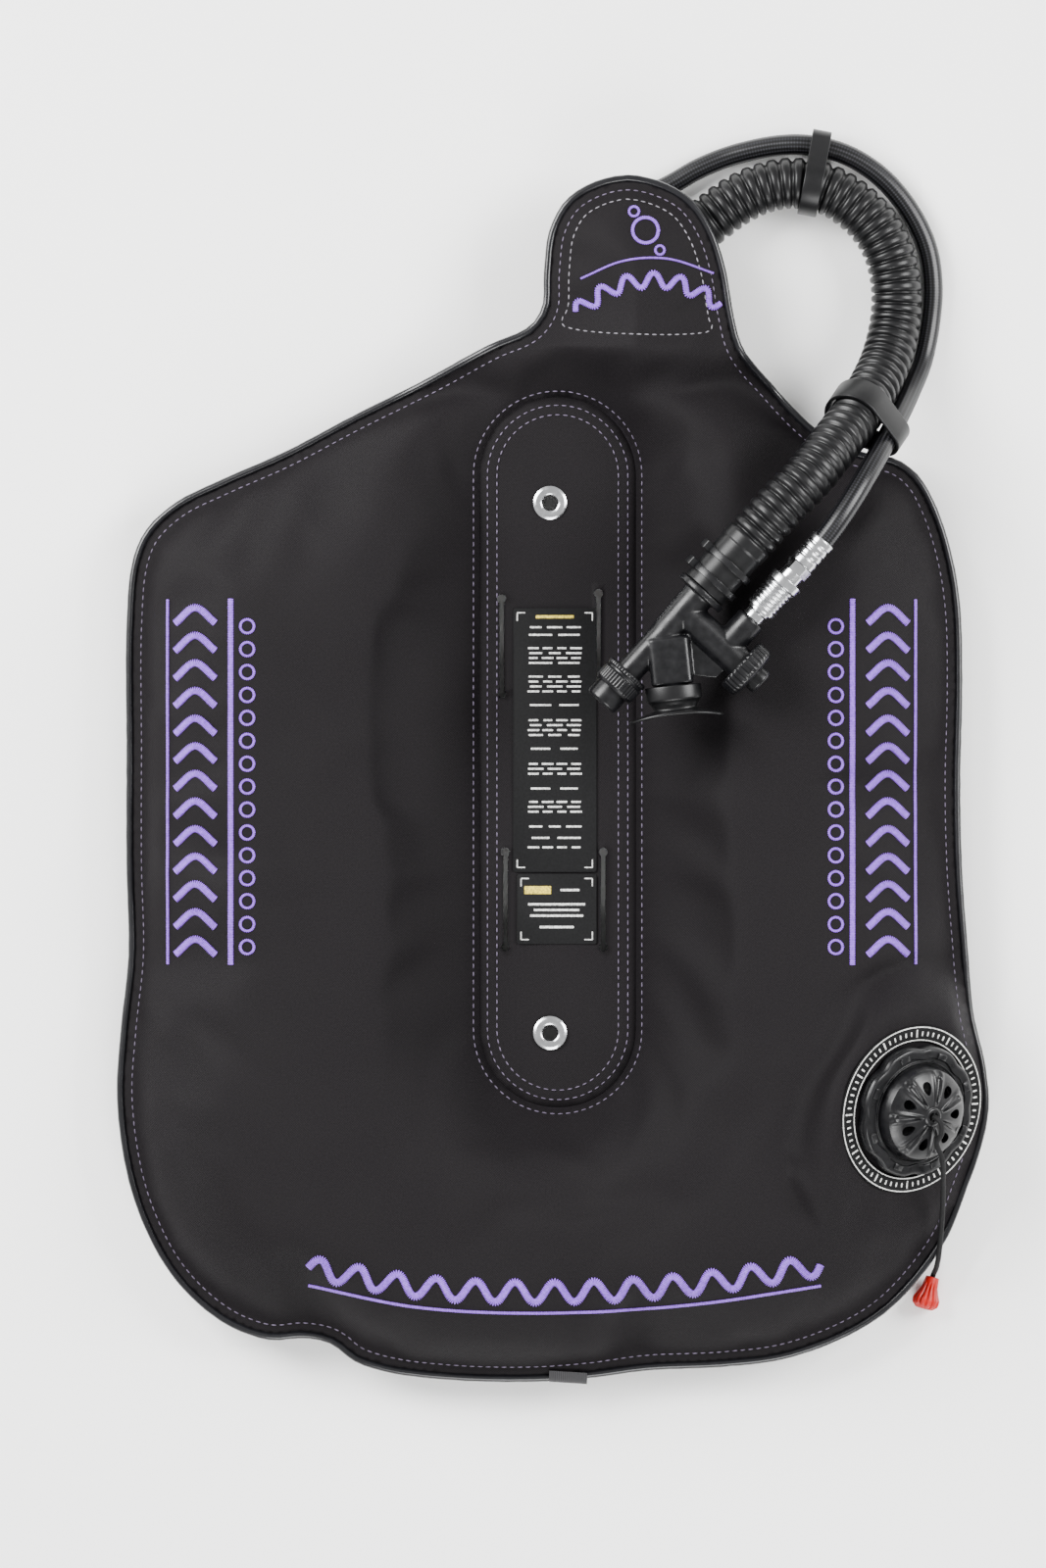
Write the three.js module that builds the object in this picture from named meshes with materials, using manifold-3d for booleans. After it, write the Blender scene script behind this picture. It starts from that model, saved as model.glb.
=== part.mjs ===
// Technical-diving wing: a donut-shaped buoyancy bladder in a fabric cover, lying face up on its
// back, with an elbow and corrugated hose to a power inflator, a low-pressure supply hose strapped
// beside it, and a pull-operated dump valve. Millimetres, +Z up, +Y towards the neck, origin at
// the middle of the wing's underside.
import * as THREE from 'three';
import { mergeVertices } from 'three/addons/utils/BufferGeometryUtils.js';
import ManifoldModule from 'manifold-3d';

const wasm = await ManifoldModule();
wasm.setup();

// ---------------------------------------------------------------- driving dimensions
const GAP = 0.3;                  // clearance between pieces that touch
const WING_WIDTH = 460;           // over the piping
const WING_LENGTH = 636;          // over the piping, neck included
const NECK_BASE_Y = 232;          // above this the neck keeps its own size
const CLOTH = 1.5;                // coated nylon cover
const BLADDER_WALL = 0.8;
const PIPING_RADIUS = 2.1;
const SEAM_Z = 22;                // height of the outer seam above the floor
const NECK_LIFT = 18;             // the neck seam is raised over the elbow by this much
const LOBE_RISE = 46;             // face of a filled lobe above its seam
const LOBE_DROP = 44;             // back of a filled lobe below its seam, flattened by the floor
const NECK_FILL = 0.5;            // the narrow neck fills to this share of LOBE_RISE
const EDGE_ROUNDING = 85;         // how far in from the outer seam a lobe keeps rising
const CENTRE_ROUNDING = 60;       // the same from the stitched centre panel

const CENTRE_X = 2.5;             // stitched centre panel: a slot shape with round ends
const CENTRE_RADIUS = 41;
const CENTRE_TOP_Y = 201;
const CENTRE_BOTTOM_Y = -173;

const GROMMET_SPACING = 279.4;    // the 11 inch bolt spacing of a diving backplate
const GROMMET_Y = 145.6;          // upper grommet
const GROMMET_X = -1.5;
const GROMMET_FLANGE = 9;
const GROMMET_BORE = 4.1;
const GROMMET_TUBE_WALL = 0.7;
const SLOT_LENGTH = 50;           // cam band slots
const SLOT_WIDTH = 2.4;
const SLOT_END_RADIUS = 2.4;
const SLOTS = [[-27, 70], [24, 73], [-25, -63.5], [26.5, -63.5]];
const LABEL = { width: 44, length: 139, x: 1, y: 20.5 };
const SMALL_LABEL = { width: 42, length: 37, x: 2, y: -68.5 };
const LABEL_THICKNESS = 0.5;
const TAB_WIDTH = 20;
const TAB_X = 8;

const ZIP_LENGTH = 150;
const ZIP_WIDTH = 8;
const ZIP_Y = -301;
const ZIP_THICKNESS = 1.6;

const ELBOW = { x: 49.6, y: 277, heading: 28 };   // port axis and the way the spout points
const PORT_NECK_RADIUS = 14;
const PORT_BORE = 10.6;
const ELBOW_RADIUS = 13.6;
const SPOUT_LENGTH = 36;

const HOSE_RADIUS = 13.5;
const HOSE_BORE = 10;
const LP_RADIUS = 5.75;
const CORD_RADIUS = 1.5;
const KEEPER_SLACK = 1.2;
const KEEPER_WALL = 1.8;

const VALVE = { x: 187.5, y: -173, tilt: 36, heading: -19, stand: 2.5 };
const VALVE_NECK_RADIUS = 20;
const VALVE_NECK_BORE = 17;
const VALVE_BODY_RADIUS = 35.3;
const DOME_RADIUS = 25.5;
const DOME_HOLE = 3.4;
const DOME_TOP = 21.2;
const BADGE_RADIUS = 45;
const EYELET_RADIUS = 2.6;

const INFLATOR = { x: 76.4, y: 96.6, heading: 227.6 };   // cuff flange centre, barrel direction
const RIDE_GAP = 2;               // inflator clear of the lobes under it
const BARREL_LENGTH = 60;
const BARREL_RADIUS = 8.3;
const BARREL_BORE = 6.2;
const LOWER_BARREL_RADIUS = 7.3;
const LOWER_BARREL_BORE = 5.3;
const BARREL_STEP = 25.5;
const FLANGE_RADIUS = 14.2;
const BRANCH_X = 12.5;
const BRANCH_RADIUS = 8.5;
const BRANCH_END = 43;
const CHAMBER_BORE = 6;
const BOSS_Y = 28.8;
const BOSS_RADIUS = 8;
const BOSS_END = -8.6;
const MOUTH_X = 25.3;
const MOUTH_ANGLE = 48.5;
const STEM_BOX = { width: 22, depth: 16, start: 4, end: 29 };
const SPIGOT_RADIUS = 7.6;
const SPIGOT_END = 36;
const MOUTH_FLANGE = { width: 50, depth: 27, start: 43.5, thickness: 2.6 };
const DEFLATE_CAP_RADIUS = 12;
const DEFLATE_CAP_START = 54.8;
const DEFLATE_CAP_END = 67.4;
const DEFLATE_BUTTON_RADIUS = 9.2;
const DEFLATE_TRAVEL = 5;
const INFLATE_CAP_RADIUS = 15;
const INFLATE_CAP_START = 39.9;
const INFLATE_CAP_END = 50.2;
const INFLATE_BUTTON_RADIUS = 7.1;
const INFLATE_TRAVEL = 3.5;
const COUPLER_BODY_RADIUS = 6.3;
const SLEEVE_RADIUS = 8.2;

// ---------------------------------------------------------------- colours
const finishes = {
  nylon: { color: 0x1f1c20, roughness: 0.85, metalness: 0 },
  piping: { color: 0x16151a, roughness: 0.4, metalness: 0 },
  bladder: { color: 0xd8d2c0, roughness: 0.5, metalness: 0 },
  label: { color: 0x141416, roughness: 0.6, metalness: 0 },
  plastic: { color: 0x232226, roughness: 0.45, metalness: 0 },
  rubber: { color: 0x1a1a1c, roughness: 0.7, metalness: 0 },
  nickel: { color: 0xb9bcc0, roughness: 0.28, metalness: 1 },
  steel: { color: 0xa6a9ad, roughness: 0.3, metalness: 1 },
  red: { color: 0xd8261c, roughness: 0.5, metalness: 0 },
};

const wing = new THREE.Group();

/** Adds one named piece to a group, in its own material. */
function piece(parent, name, geometry, finish) {
  const mesh = new THREE.Mesh(geometry, new THREE.MeshStandardMaterial(finishes[finish]));
  mesh.name = name;
  parent.add(mesh);
  return mesh;
}

// ---------------------------------------------------------------- solids and booleans
/** The same surface with shared vertices, only positions, and faces that point out. */
function closed(geometry) {
  const bare = new THREE.BufferGeometry();
  bare.setAttribute('position', geometry.getAttribute('position').clone());
  if (geometry.index) bare.setIndex(geometry.index.clone());
  const merged = mergeVertices(bare, 1e-4);
  const place = merged.getAttribute('position');
  const corners = merged.index.array;
  const kept = [];
  let volume = 0;
  const [a, b, c] = [new THREE.Vector3(), new THREE.Vector3(), new THREE.Vector3()];
  for (let i = 0; i < corners.length; i += 3) {
    const [p, q, r] = [corners[i], corners[i + 1], corners[i + 2]];
    if (p === q || q === r || r === p) continue;
    kept.push(p, q, r);
    a.fromBufferAttribute(place, p);
    b.fromBufferAttribute(place, q);
    c.fromBufferAttribute(place, r);
    volume += a.dot(b.cross(c));
  }
  merged.setIndex(volume < 0 ? kept.reverse() : kept);
  return merged;
}

function toManifold(geometry) {
  const solid = closed(geometry);
  return new wasm.Manifold(new wasm.Mesh({
    numProp: 3,
    vertProperties: new Float32Array(solid.getAttribute('position').array),
    triVerts: new Uint32Array(solid.index.array),
  }));
}

function fromManifold(solid) {
  const mesh = solid.getMesh();
  const geometry = new THREE.BufferGeometry();
  geometry.setAttribute('position', new THREE.BufferAttribute(mesh.vertProperties, 3));
  geometry.setIndex(new THREE.BufferAttribute(mesh.triVerts, 1));
  return geometry;
}

/** Joins the first list of shapes and cuts the second list from them. */
function shaped(joined, cut = []) {
  let solid = toManifold(joined[0]);
  for (const shape of joined.slice(1)) solid = solid.add(toManifold(shape));
  for (const shape of cut) solid = solid.subtract(toManifold(shape));
  return fromManifold(solid);
}

/** A solid turned about +Z from [radius, height] points that start and end on the axis or meet. */
function turned(profile, sides = 16) {
  const points = profile.map(([radius, height]) => new THREE.Vector2(radius, height));
  return closed(new THREE.LatheGeometry(points, sides).rotateX(Math.PI / 2));
}

function rod(radius, low, high, sides = 16) {
  return turned([[0, low], [radius, low], [radius, high], [0, high]], sides);
}

function ring(inner, outer, low, high, sides = 16) {
  return turned([[inner, low], [outer, low], [outer, high], [inner, high], [inner, low]], sides);
}

function circlePoints(radius, sides, radiusY = radius) {
  return Array.from({ length: sides }, (_, i) => {
    const angle = (2 * Math.PI * i) / sides;
    return new THREE.Vector2(radius * Math.cos(angle), radiusY * Math.sin(angle));
  });
}

/** An elliptical rod along +Z. */
function ellipseRod(width, depth, low, high, sides = 24) {
  const shape = new THREE.Shape(circlePoints(width / 2, sides, depth / 2));
  const geometry = new THREE.ExtrudeGeometry(shape, { depth: high - low, bevelEnabled: false });
  return geometry.translate(0, 0, low);
}

function box(width, length, height, x = 0, y = 0, z = 0) {
  return new THREE.BoxGeometry(width, length, height).translate(x, y, z);
}

/** A tube along a curve, solid or with a bore that clears a pipe of that radius. */
function tube(curve, radius, steps, sides, bore = 0) {
  const section = new THREE.Shape(circlePoints(radius, sides));
  if (bore) section.holes.push(new THREE.Path(circlePoints(bore / Math.cos(Math.PI / sides), sides)));
  return closed(new THREE.ExtrudeGeometry(section, { steps, extrudePath: curve, bevelEnabled: false }));
}

class Helix extends THREE.Curve {
  constructor(radius, low, high, turns) {
    super();
    Object.assign(this, { radius, low, high, turns });
  }

  getPoint(t, target = new THREE.Vector3()) {
    const angle = 2 * Math.PI * this.turns * t;
    const height = this.low + (this.high - this.low) * t;
    return target.set(this.radius * Math.cos(angle), this.radius * Math.sin(angle), height);
  }
}

/** A compression spring about +Z between two heights over its wire. */
function spring(radius, wire, low, high, turns) {
  const path = new Helix(radius, low + wire, high - wire, turns);
  return tube(path, wire / 2, turns * 9, 3);
}

/** Turns a shape that was built about +Z so that its axis lies along +X or +Y of its group. */
const alongX = (geometry) => geometry.rotateY(Math.PI / 2);
const alongY = (geometry) => geometry.rotateX(-Math.PI / 2);

// ---------------------------------------------------------------- wing outline and heights
// The outer edge of the flat pattern, clockwise from the crown of the neck, for a wing of
// PATTERN_WIDTH by PATTERN_LENGTH. The neck is off centre and the lower left edge has a notch.
const PATTERN_WIDTH = 460;
const PATTERN_LENGTH = 636;
const OUTLINE = [
  [39, 318], [58, 314], [73, 305], [84, 289], [91, 268], [95, 245], [100, 227],
  [115, 209], [135, 188], [150, 177], [166, 172], [181, 169], [193, 160], [203, 142],
  [211, 116], [215, 90], [216, 49], [215, -3], [216, -49], [219, -90],
  [222, -124], [228, -150], [230, -173], [226, -194], [218, -217], [209, -240],
  [196, -260], [176, -281], [153, -295], [122, -306], [91, -310], [50, -312],
  [19, -316], [-12, -318], [-54, -317], [-87, -313], [-105, -307], [-117, -298],
  [-131, -295], [-149, -296], [-170, -289], [-188, -276], [-203, -259], [-216, -235],
  [-225, -207], [-230, -168], [-228, -132], [-224, -93], [-225, -44], [-225, 18],
  [-225, 80], [-222, 114], [-215, 131], [-199, 146], [-175, 158], [-141, 173],
  [-105, 192], [-69, 210], [-33, 229], [-13, 238], [-6, 248], [-5, 266],
  [-2, 289], [7, 305], [21, 314],
];
const OUTLINE_STEPS = OUTLINE.length;

/** A pattern point at the wing's real width and length; the neck keeps its size. */
function atSize([x, y]) {
  if (y >= NECK_BASE_Y) return new THREE.Vector3(x, y, 0);
  const neckPart = THREE.MathUtils.smoothstep(y, NECK_BASE_Y - 60, NECK_BASE_Y);
  const wide = THREE.MathUtils.lerp(WING_WIDTH / PATTERN_WIDTH, 1, neckPart);
  const bodyLength = NECK_BASE_Y + PATTERN_LENGTH / 2;
  const long = (WING_LENGTH - PATTERN_LENGTH + bodyLength) / bodyLength;
  return new THREE.Vector3(x * wide, NECK_BASE_Y - (NECK_BASE_Y - y) * long, 0);
}

const outlineCurve = new THREE.CatmullRomCurve3(OUTLINE.map(atSize), true, 'centripetal');
const outline = Array.from({ length: OUTLINE_STEPS }, (_, i) => {
  return outlineCurve.getPoint(i / OUTLINE_STEPS);
});

/** The outline moved inwards by a distance. */
function insetOutline(distance) {
  return outline.map((point, i) => {
    const before = outline[(i + OUTLINE_STEPS - 1) % OUTLINE_STEPS];
    const after = outline[(i + 1) % OUTLINE_STEPS];
    const along = new THREE.Vector3().subVectors(after, before).normalize();
    return new THREE.Vector3(point.x + along.y * distance, point.y - along.x * distance, 0);
  });
}

const COVER_INSET = 2 * PIPING_RADIUS + GAP;      // the cover's edge, inside the piping
const coverEdge = insetOutline(COVER_INSET);
const SPINE_LOW = CENTRE_BOTTOM_Y + CENTRE_RADIUS;
const SPINE_HIGH = CENTRE_TOP_Y - CENTRE_RADIUS;

function spinePoint(y) {
  return new THREE.Vector3(CENTRE_X, THREE.MathUtils.clamp(y, SPINE_LOW, SPINE_HIGH), 0);
}

/** Distance in from the cover's outer edge. */
function edgeDistance(x, y) {
  let nearest = Infinity;
  for (let i = 0; i < OUTLINE_STEPS; i += 1) {
    const a = coverEdge[i];
    const b = coverEdge[(i + 1) % OUTLINE_STEPS];
    const [dx, dy] = [b.x - a.x, b.y - a.y];
    const t = THREE.MathUtils.clamp(((x - a.x) * dx + (y - a.y) * dy) / (dx * dx + dy * dy), 0, 1);
    nearest = Math.min(nearest, Math.hypot(x - a.x - t * dx, y - a.y - t * dy));
  }
  return nearest;
}

/** Distance out from the stitched centre panel, zero on it. */
function centreDistance(x, y) {
  const spine = spinePoint(y);
  return Math.max(0, Math.hypot(x - spine.x, y - spine.y) - CENTRE_RADIUS);
}

/** How full a lobe is, 0 at a seam and 1 well inside it. */
function fullness(x, y) {
  const share = (distance, reach) => {
    const s = Math.min(distance / reach, 1);
    return s * (2 - s);
  };
  return share(edgeDistance(x, y), EDGE_ROUNDING) * share(centreDistance(x, y), CENTRE_ROUNDING);
}

function seamHeight(y) {
  return SEAM_Z + NECK_LIFT * THREE.MathUtils.smoothstep(y, CENTRE_TOP_Y, NECK_BASE_Y - 3);
}

/** 1 over the raised channel under the neck, where the elbow and the supply hose lie. */
function channel(x, y) {
  const [ax, ay, bx, by] = [20, 180, 45, 290];
  const t = THREE.MathUtils.clamp(
    ((x - ax) * (bx - ax) + (y - ay) * (by - ay)) / ((bx - ax) ** 2 + (by - ay) ** 2), 0, 1);
  const away = Math.hypot(x - ax - t * (bx - ax), y - ay - t * (by - ay));
  return 1 - THREE.MathUtils.smoothstep(away, 42, 80);
}

const valveTilt = THREE.MathUtils.degToRad(VALVE.tilt);
const valveHeading = THREE.MathUtils.degToRad(VALVE.heading);
const valveAxis = new THREE.Vector3(
  Math.sin(valveTilt) * Math.cos(valveHeading),
  Math.sin(valveTilt) * Math.sin(valveHeading),
  Math.cos(valveTilt));

/** Outer face of the front cover. */
function frontFace(x, y) {
  const fill = THREE.MathUtils.lerp(
    1, NECK_FILL, THREE.MathUtils.smoothstep(y, NECK_BASE_Y - 40, NECK_BASE_Y + 18));
  return seamHeight(y) + GAP / 2 + CLOTH + LOBE_RISE * fill * fullness(x, y);
}

const valveAt = atSize([VALVE.x, VALVE.y]);
const valveCentre = new THREE.Vector3(
  valveAt.x, valveAt.y, frontFace(valveAt.x, valveAt.y) + VALVE.stand);

/** Outer face of the back cover, flat where the floor stops it. */
function backFace(x, y) {
  const sunk = LOBE_DROP * fullness(x, y) * (1 - channel(x, y));
  return Math.max(0, seamHeight(y) - GAP / 2 - CLOTH - sunk);
}

/** Plan points on one ring between the outer edge (share 0) and the centre panel (share 1). */
function ringBetween(edge, share, centreRadius) {
  return edge.map((point) => {
    const spine = spinePoint(point.y);
    const reach = Math.hypot(point.x - spine.x, point.y - spine.y);
    const across = THREE.MathUtils.lerp(1, centreRadius / reach, share);
    return new THREE.Vector3(
      spine.x + (point.x - spine.x) * across, spine.y + (point.y - spine.y) * across, 0);
  });
}

/** A closed solid over plan rings, between a top and a bottom height. */
function layered(rings, top, bottom, fillCentre) {
  const count = rings[0].length;
  const position = [];
  const index = [];
  for (const height of [top, bottom]) {
    for (const points of rings) {
      for (const point of points) position.push(point.x, point.y, height(point.x, point.y));
    }
  }
  const at = (side, ringNumber, i) => (side * rings.length + ringNumber) * count + (i % count);
  const quad = (a, b, c, d) => index.push(a, b, c, a, c, d);
  for (let k = 0; k + 1 < rings.length; k += 1) {
    for (let i = 0; i < count; i += 1) {
      quad(at(0, k, i), at(0, k, i + 1), at(0, k + 1, i + 1), at(0, k + 1, i));
      quad(at(1, k, i), at(1, k + 1, i), at(1, k + 1, i + 1), at(1, k, i + 1));
    }
  }
  const last = rings.length - 1;
  const middle = position.length / 3;
  if (fillCentre) {
    const [x, y] = [CENTRE_X, (SPINE_LOW + SPINE_HIGH) / 2];
    position.push(x, y, top(x, y), x, y, bottom(x, y));
  }
  for (let i = 0; i < count; i += 1) {
    quad(at(0, 0, i), at(1, 0, i), at(1, 0, i + 1), at(0, 0, i + 1));
    if (fillCentre) {
      index.push(at(0, last, i), at(0, last, i + 1), middle);
      index.push(at(1, last, i + 1), at(1, last, i), middle + 1);
    } else {
      quad(at(0, last, i + 1), at(1, last, i + 1), at(1, last, i), at(0, last, i));
    }
  }
  const geometry = new THREE.BufferGeometry();
  geometry.setAttribute('position', new THREE.Float32BufferAttribute(position, 3));
  geometry.setIndex(index);
  return closed(geometry);
}

/** Turns a shape about +Z to lie along a direction and moves it to a point. */
function set(geometry, point, axis) {
  const turn = new THREE.Quaternion().setFromUnitVectors(new THREE.Vector3(0, 0, 1), axis);
  return geometry.applyQuaternion(turn).translate(point.x, point.y, point.z);
}

// ---------------------------------------------------------------- covers and bladder
const COVER_SHARES = [0, 0.1, 0.27, 0.5, 0.76, 1];
const coverRings = COVER_SHARES.map((share) => ringBetween(coverEdge, share, CENTRE_RADIUS));
const CENTRE_FACE = SEAM_Z + GAP / 2 + CLOTH;
const CENTRE_BACK = SEAM_Z - GAP / 2 - CLOTH;
const GROMMETS = [GROMMET_Y, GROMMET_Y - GROMMET_SPACING];

/** What is cut right through both covers in the centre panel. */
function centreCuts() {
  const low = CENTRE_BACK - 5;
  const high = CENTRE_FACE + 5;
  const cuts = GROMMETS.map((y) => {
    const clear = GROMMET_BORE + GROMMET_TUBE_WALL + GAP;
    return rod(clear, low, high, 16).translate(GROMMET_X, y, 0);
  });
  for (const [x, y] of SLOTS) {
    cuts.push(box(SLOT_WIDTH, SLOT_LENGTH, high - low, x, y, (low + high) / 2));
    for (const end of [-SLOT_LENGTH / 2, SLOT_LENGTH / 2]) {
      cuts.push(rod(SLOT_END_RADIUS, low, high, 8).translate(x, y + end, 0));
    }
  }
  return cuts;
}

const toValve = (geometry) => set(geometry, valveCentre, valveAxis);
const valveSeatRadius = VALVE_BODY_RADIUS + 1.7;
const valveBore = VALVE_NECK_RADIUS + GAP;
const frontInside = (x, y) => frontFace(x, y) - CLOTH;
const frontCover = layered(coverRings, frontFace, frontInside, true);
const underCover = layered(coverRings, frontInside, (x, y) => frontInside(x, y) - 40, true);
const SEAT_WALL = 1.2;
const seatDepth = valveSeatRadius - 17;                   // the skirt reaches the cover all round
const seatSkirt = toValve(
  ring(valveSeatRadius - SEAT_WALL, valveSeatRadius, -seatDepth, -CLOTH / 2, 20));
piece(wing, 'front_shell', shaped([
  shaped([frontCover], [
    ...centreCuts(), toValve(rod(valveSeatRadius - SEAT_WALL / 2, -seatDepth, 30, 20)),
  ]),
  toValve(ring(valveBore, valveSeatRadius, -CLOTH, 0, 20)),
  shaped([seatSkirt], [underCover]),
]), 'nylon');

const portFace = backFace(ELBOW.x, ELBOW.y);              // underside of the cover at the port
const portBore = PORT_NECK_RADIUS + GAP;
const toPort = (geometry) => geometry.translate(ELBOW.x, ELBOW.y, 0);
const zipY = atSize([0, ZIP_Y]).y;
const zipSlit = box(ZIP_LENGTH - 10, 1.6, 40, 0, zipY, 10);
piece(wing, 'back_shell', shaped(
  [layered(coverRings, (x, y) => backFace(x, y) + CLOTH, backFace, true)],
  [...centreCuts(), toPort(rod(portBore, 20, portFace + 5, 20)), zipSlit]), 'nylon');

// The bladder is a hollow ring, welded along both rims, a little smaller than the cover.
const RIM_INSET = 11.2;
const RIM_WELD = 4;
const RIM_SLOPE = 10;
const BLADDER_FILL = 0.75;
const NECK_WAIST = 0.64;
const midHeight = (x, y) => (frontFace(x, y) + backFace(x, y)) / 2;
const halfRoom = (x, y) => {                              // the bladder is slimmer where the neck starts
  const waist = 1 - NECK_WAIST * Math.exp(-(((y - NECK_BASE_Y + 8) / 18) ** 2));
  return ((frontFace(x, y) - backFace(x, y)) / 2 - CLOTH) * BLADDER_FILL * waist - GAP;
};

/** How far a bladder wall has left its rim, 0 on the rim and 1 past the slope. */
function openness(x, y, extra) {
  const inside = Math.min(edgeDistance(x, y), centreDistance(x, y)) - RIM_INSET - extra;
  return THREE.MathUtils.smoothstep(inside, -0.5, RIM_SLOPE);
}

function bladderSolid(extra, wall, rim) {
  const edge = insetOutline(COVER_INSET + RIM_INSET + extra);
  const inner = CENTRE_RADIUS + RIM_INSET + extra;
  const rings = COVER_SHARES.map((share) => ringBetween(edge, share, inner));
  const half = (x, y) => rim + (halfRoom(x, y) - wall - rim) * openness(x, y, extra);
  const top = (x, y) => midHeight(x, y) + half(x, y);
  const bottom = (x, y) => midHeight(x, y) - half(x, y);
  return layered(rings, top, bottom, false);
}

const valveSeatDrop = CLOTH + GAP;                        // bladder seat below the cover's
const VALVE_FLANGE_RADIUS = 26;
const portFlange = 20;
const portSeatHeight = portFace + CLOTH + GAP;
const openRing = shaped([bladderSolid(0, 0, 0.5)], [
  toValve(rod(VALVE_FLANGE_RADIUS + 0.9, -22, 10, 20)),
  toPort(rod(portFlange + 0.9, 20, midHeight(ELBOW.x, ELBOW.y), 20)),
]);
/** A flat seat round an opening, on a skirt that reaches the bladder wall. */
function weldedSeat(bore, outer, depth) {
  const disc = ring(bore, outer, -BLADDER_WALL, 0, 20);
  return shaped([disc, ring(outer - 1.2, outer, -depth, -BLADDER_WALL / 2, 20)]);
}
piece(wing, 'inner_bladder', shaped([
  openRing,
  toValve(weldedSeat(valveBore, VALVE_FLANGE_RADIUS + 1.5, 16).translate(0, 0, -valveSeatDrop)),
  toPort(weldedSeat(portBore, portFlange + 1.5, 4.5).rotateX(Math.PI).translate(0, 0, portSeatHeight)),
], [bladderSolid(RIM_WELD, BLADDER_WALL, 0.05)]), 'bladder');

/** A closed cord of round section that follows the outline at a distance in from it. */
function bead(inset, radius, sides) {
  const inner = insetOutline(inset + radius);
  const outer = insetOutline(inset - radius);
  const position = [];
  const index = [];
  inner.forEach((near, i) => {
    for (const point of circlePoints(1, sides)) {
      const at = near.clone().lerp(outer[i], (point.x + 1) / 2);
      position.push(at.x, at.y, seamHeight(at.y) + radius * point.y);
    }
  });
  const at = (i, k) => (i % inner.length) * sides + (k % sides);
  for (let i = 0; i < inner.length; i += 1) {
    for (let k = 0; k < sides; k += 1) {
      index.push(at(i, k), at(i + 1, k), at(i + 1, k + 1), at(i, k), at(i + 1, k + 1), at(i, k + 1));
    }
  }
  const geometry = new THREE.BufferGeometry();
  geometry.setAttribute('position', new THREE.Float32BufferAttribute(position, 3));
  geometry.setIndex(index);
  return closed(geometry);
}
piece(wing, 'edge_piping', bead(PIPING_RADIUS, PIPING_RADIUS, 6), 'piping');

// ---------------------------------------------------------------- centre panel fittings
GROMMETS.forEach((y, i) => {
  const name = i === 0 ? 'upper' : 'lower';
  const tubeOuter = GROMMET_BORE + GROMMET_TUBE_WALL;
  const face = CENTRE_FACE + GAP;
  const back = CENTRE_BACK - GAP;
  const body = turned([
    [GROMMET_BORE, back - 0.6], [tubeOuter, back - 0.6], [tubeOuter, face],
    [GROMMET_FLANGE, face], [GROMMET_FLANGE, face + 1.2], [GROMMET_BORE, face + 1.2],
    [GROMMET_BORE, back - 0.6],
  ], 20);
  piece(wing, `${name}_grommet`, body.translate(GROMMET_X, y, 0), 'nickel');
  const washer = ring(tubeOuter + GAP, GROMMET_FLANGE, back - 1, back, 20);
  piece(wing, `${name}_grommet_washer`, washer.translate(GROMMET_X, y, 0), 'nickel');
});

const labelZ = CENTRE_FACE + GAP + LABEL_THICKNESS / 2;
[['main_label', LABEL], ['small_label', SMALL_LABEL]].forEach(([name, label]) => {
  const sheet = box(label.width, label.length, LABEL_THICKNESS, label.x, label.y, labelZ);
  piece(wing, name, sheet, 'label');
});

// The tab is a folded strip of webbing sewn over the piping at the bottom edge.
const tabSide = outline.findIndex((p, i) => {
  const next = outline[(i + 1) % OUTLINE_STEPS];
  return p.y < 0 && p.x >= TAB_X && next.x < TAB_X;
});
const [tabFrom, tabTo] = [tabSide, tabSide + 1].map((i) => insetOutline(PIPING_RADIUS)[i]);
const tabAlong = tabTo.clone().sub(tabFrom).normalize();
const tabCentre = tabFrom.clone().lerp(tabTo, (TAB_X - tabFrom.x) / (tabTo.x - tabFrom.x));
const tabInner = PIPING_RADIUS + GAP + 0.2;
const tabOuter = tabInner + 1;
const tabSection = new THREE.Shape([
  [-tabOuter, -tabOuter], [tabInner, -tabOuter], [tabInner, -tabInner], [-tabInner, -tabInner],
  [-tabInner, tabInner], [tabInner, tabInner], [tabInner, tabOuter], [-tabOuter, tabOuter],
].map(([y, z]) => new THREE.Vector2(y, z)));
const tab = new THREE.ExtrudeGeometry(tabSection, { depth: TAB_WIDTH, bevelEnabled: false });
tab.translate(0, 0, -TAB_WIDTH / 2);
const tabUp = new THREE.Vector3(0, 0, 1);
tab.applyMatrix4(new THREE.Matrix4().makeBasis(
  new THREE.Vector3().crossVectors(tabUp, tabAlong).negate(), tabUp, tabAlong.clone().negate()));
tab.translate(tabCentre.x, tabCentre.y, SEAM_Z);
piece(wing, 'bottom_tab', tab, 'nylon');

// The cover opens for the bladder with a zip under its lower edge.
const zipEdges = [-1, -0.75, -0.5, -0.25, 0, 0.25, 0.5, 0.75, 1].flatMap((side) => {
  return [-1, 1].map((edge) => [(side * ZIP_LENGTH) / 2, zipY + (edge * ZIP_WIDTH) / 2]);
});
const zipBack = Math.min(...zipEdges.map(([x, y]) => backFace(x, y)));
const ZIP_RECESS = 0.245;                                // let into the swell of the cloth
const zipTop = zipBack + ZIP_RECESS;
const zip = box(ZIP_LENGTH, ZIP_WIDTH, ZIP_THICKNESS, 0, zipY, zipTop - ZIP_THICKNESS / 2);
piece(wing, 'zip_chain', zip, 'nylon');
const SLIDER = { length: 9, width: 6, thickness: 1.8, park: 14 };
const PULL = { length: 16, width: 4, thickness: 0.8, ahead: 13 };
const sliderX = -ZIP_LENGTH / 2 + SLIDER.park;
const sliderZ = zipTop - ZIP_THICKNESS - GAP;
const sliderMiddle = sliderZ - SLIDER.thickness / 2;
piece(wing, 'zip_slider', box(
  SLIDER.length, SLIDER.width, SLIDER.thickness, sliderX, zipY, sliderMiddle), 'nickel');
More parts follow.
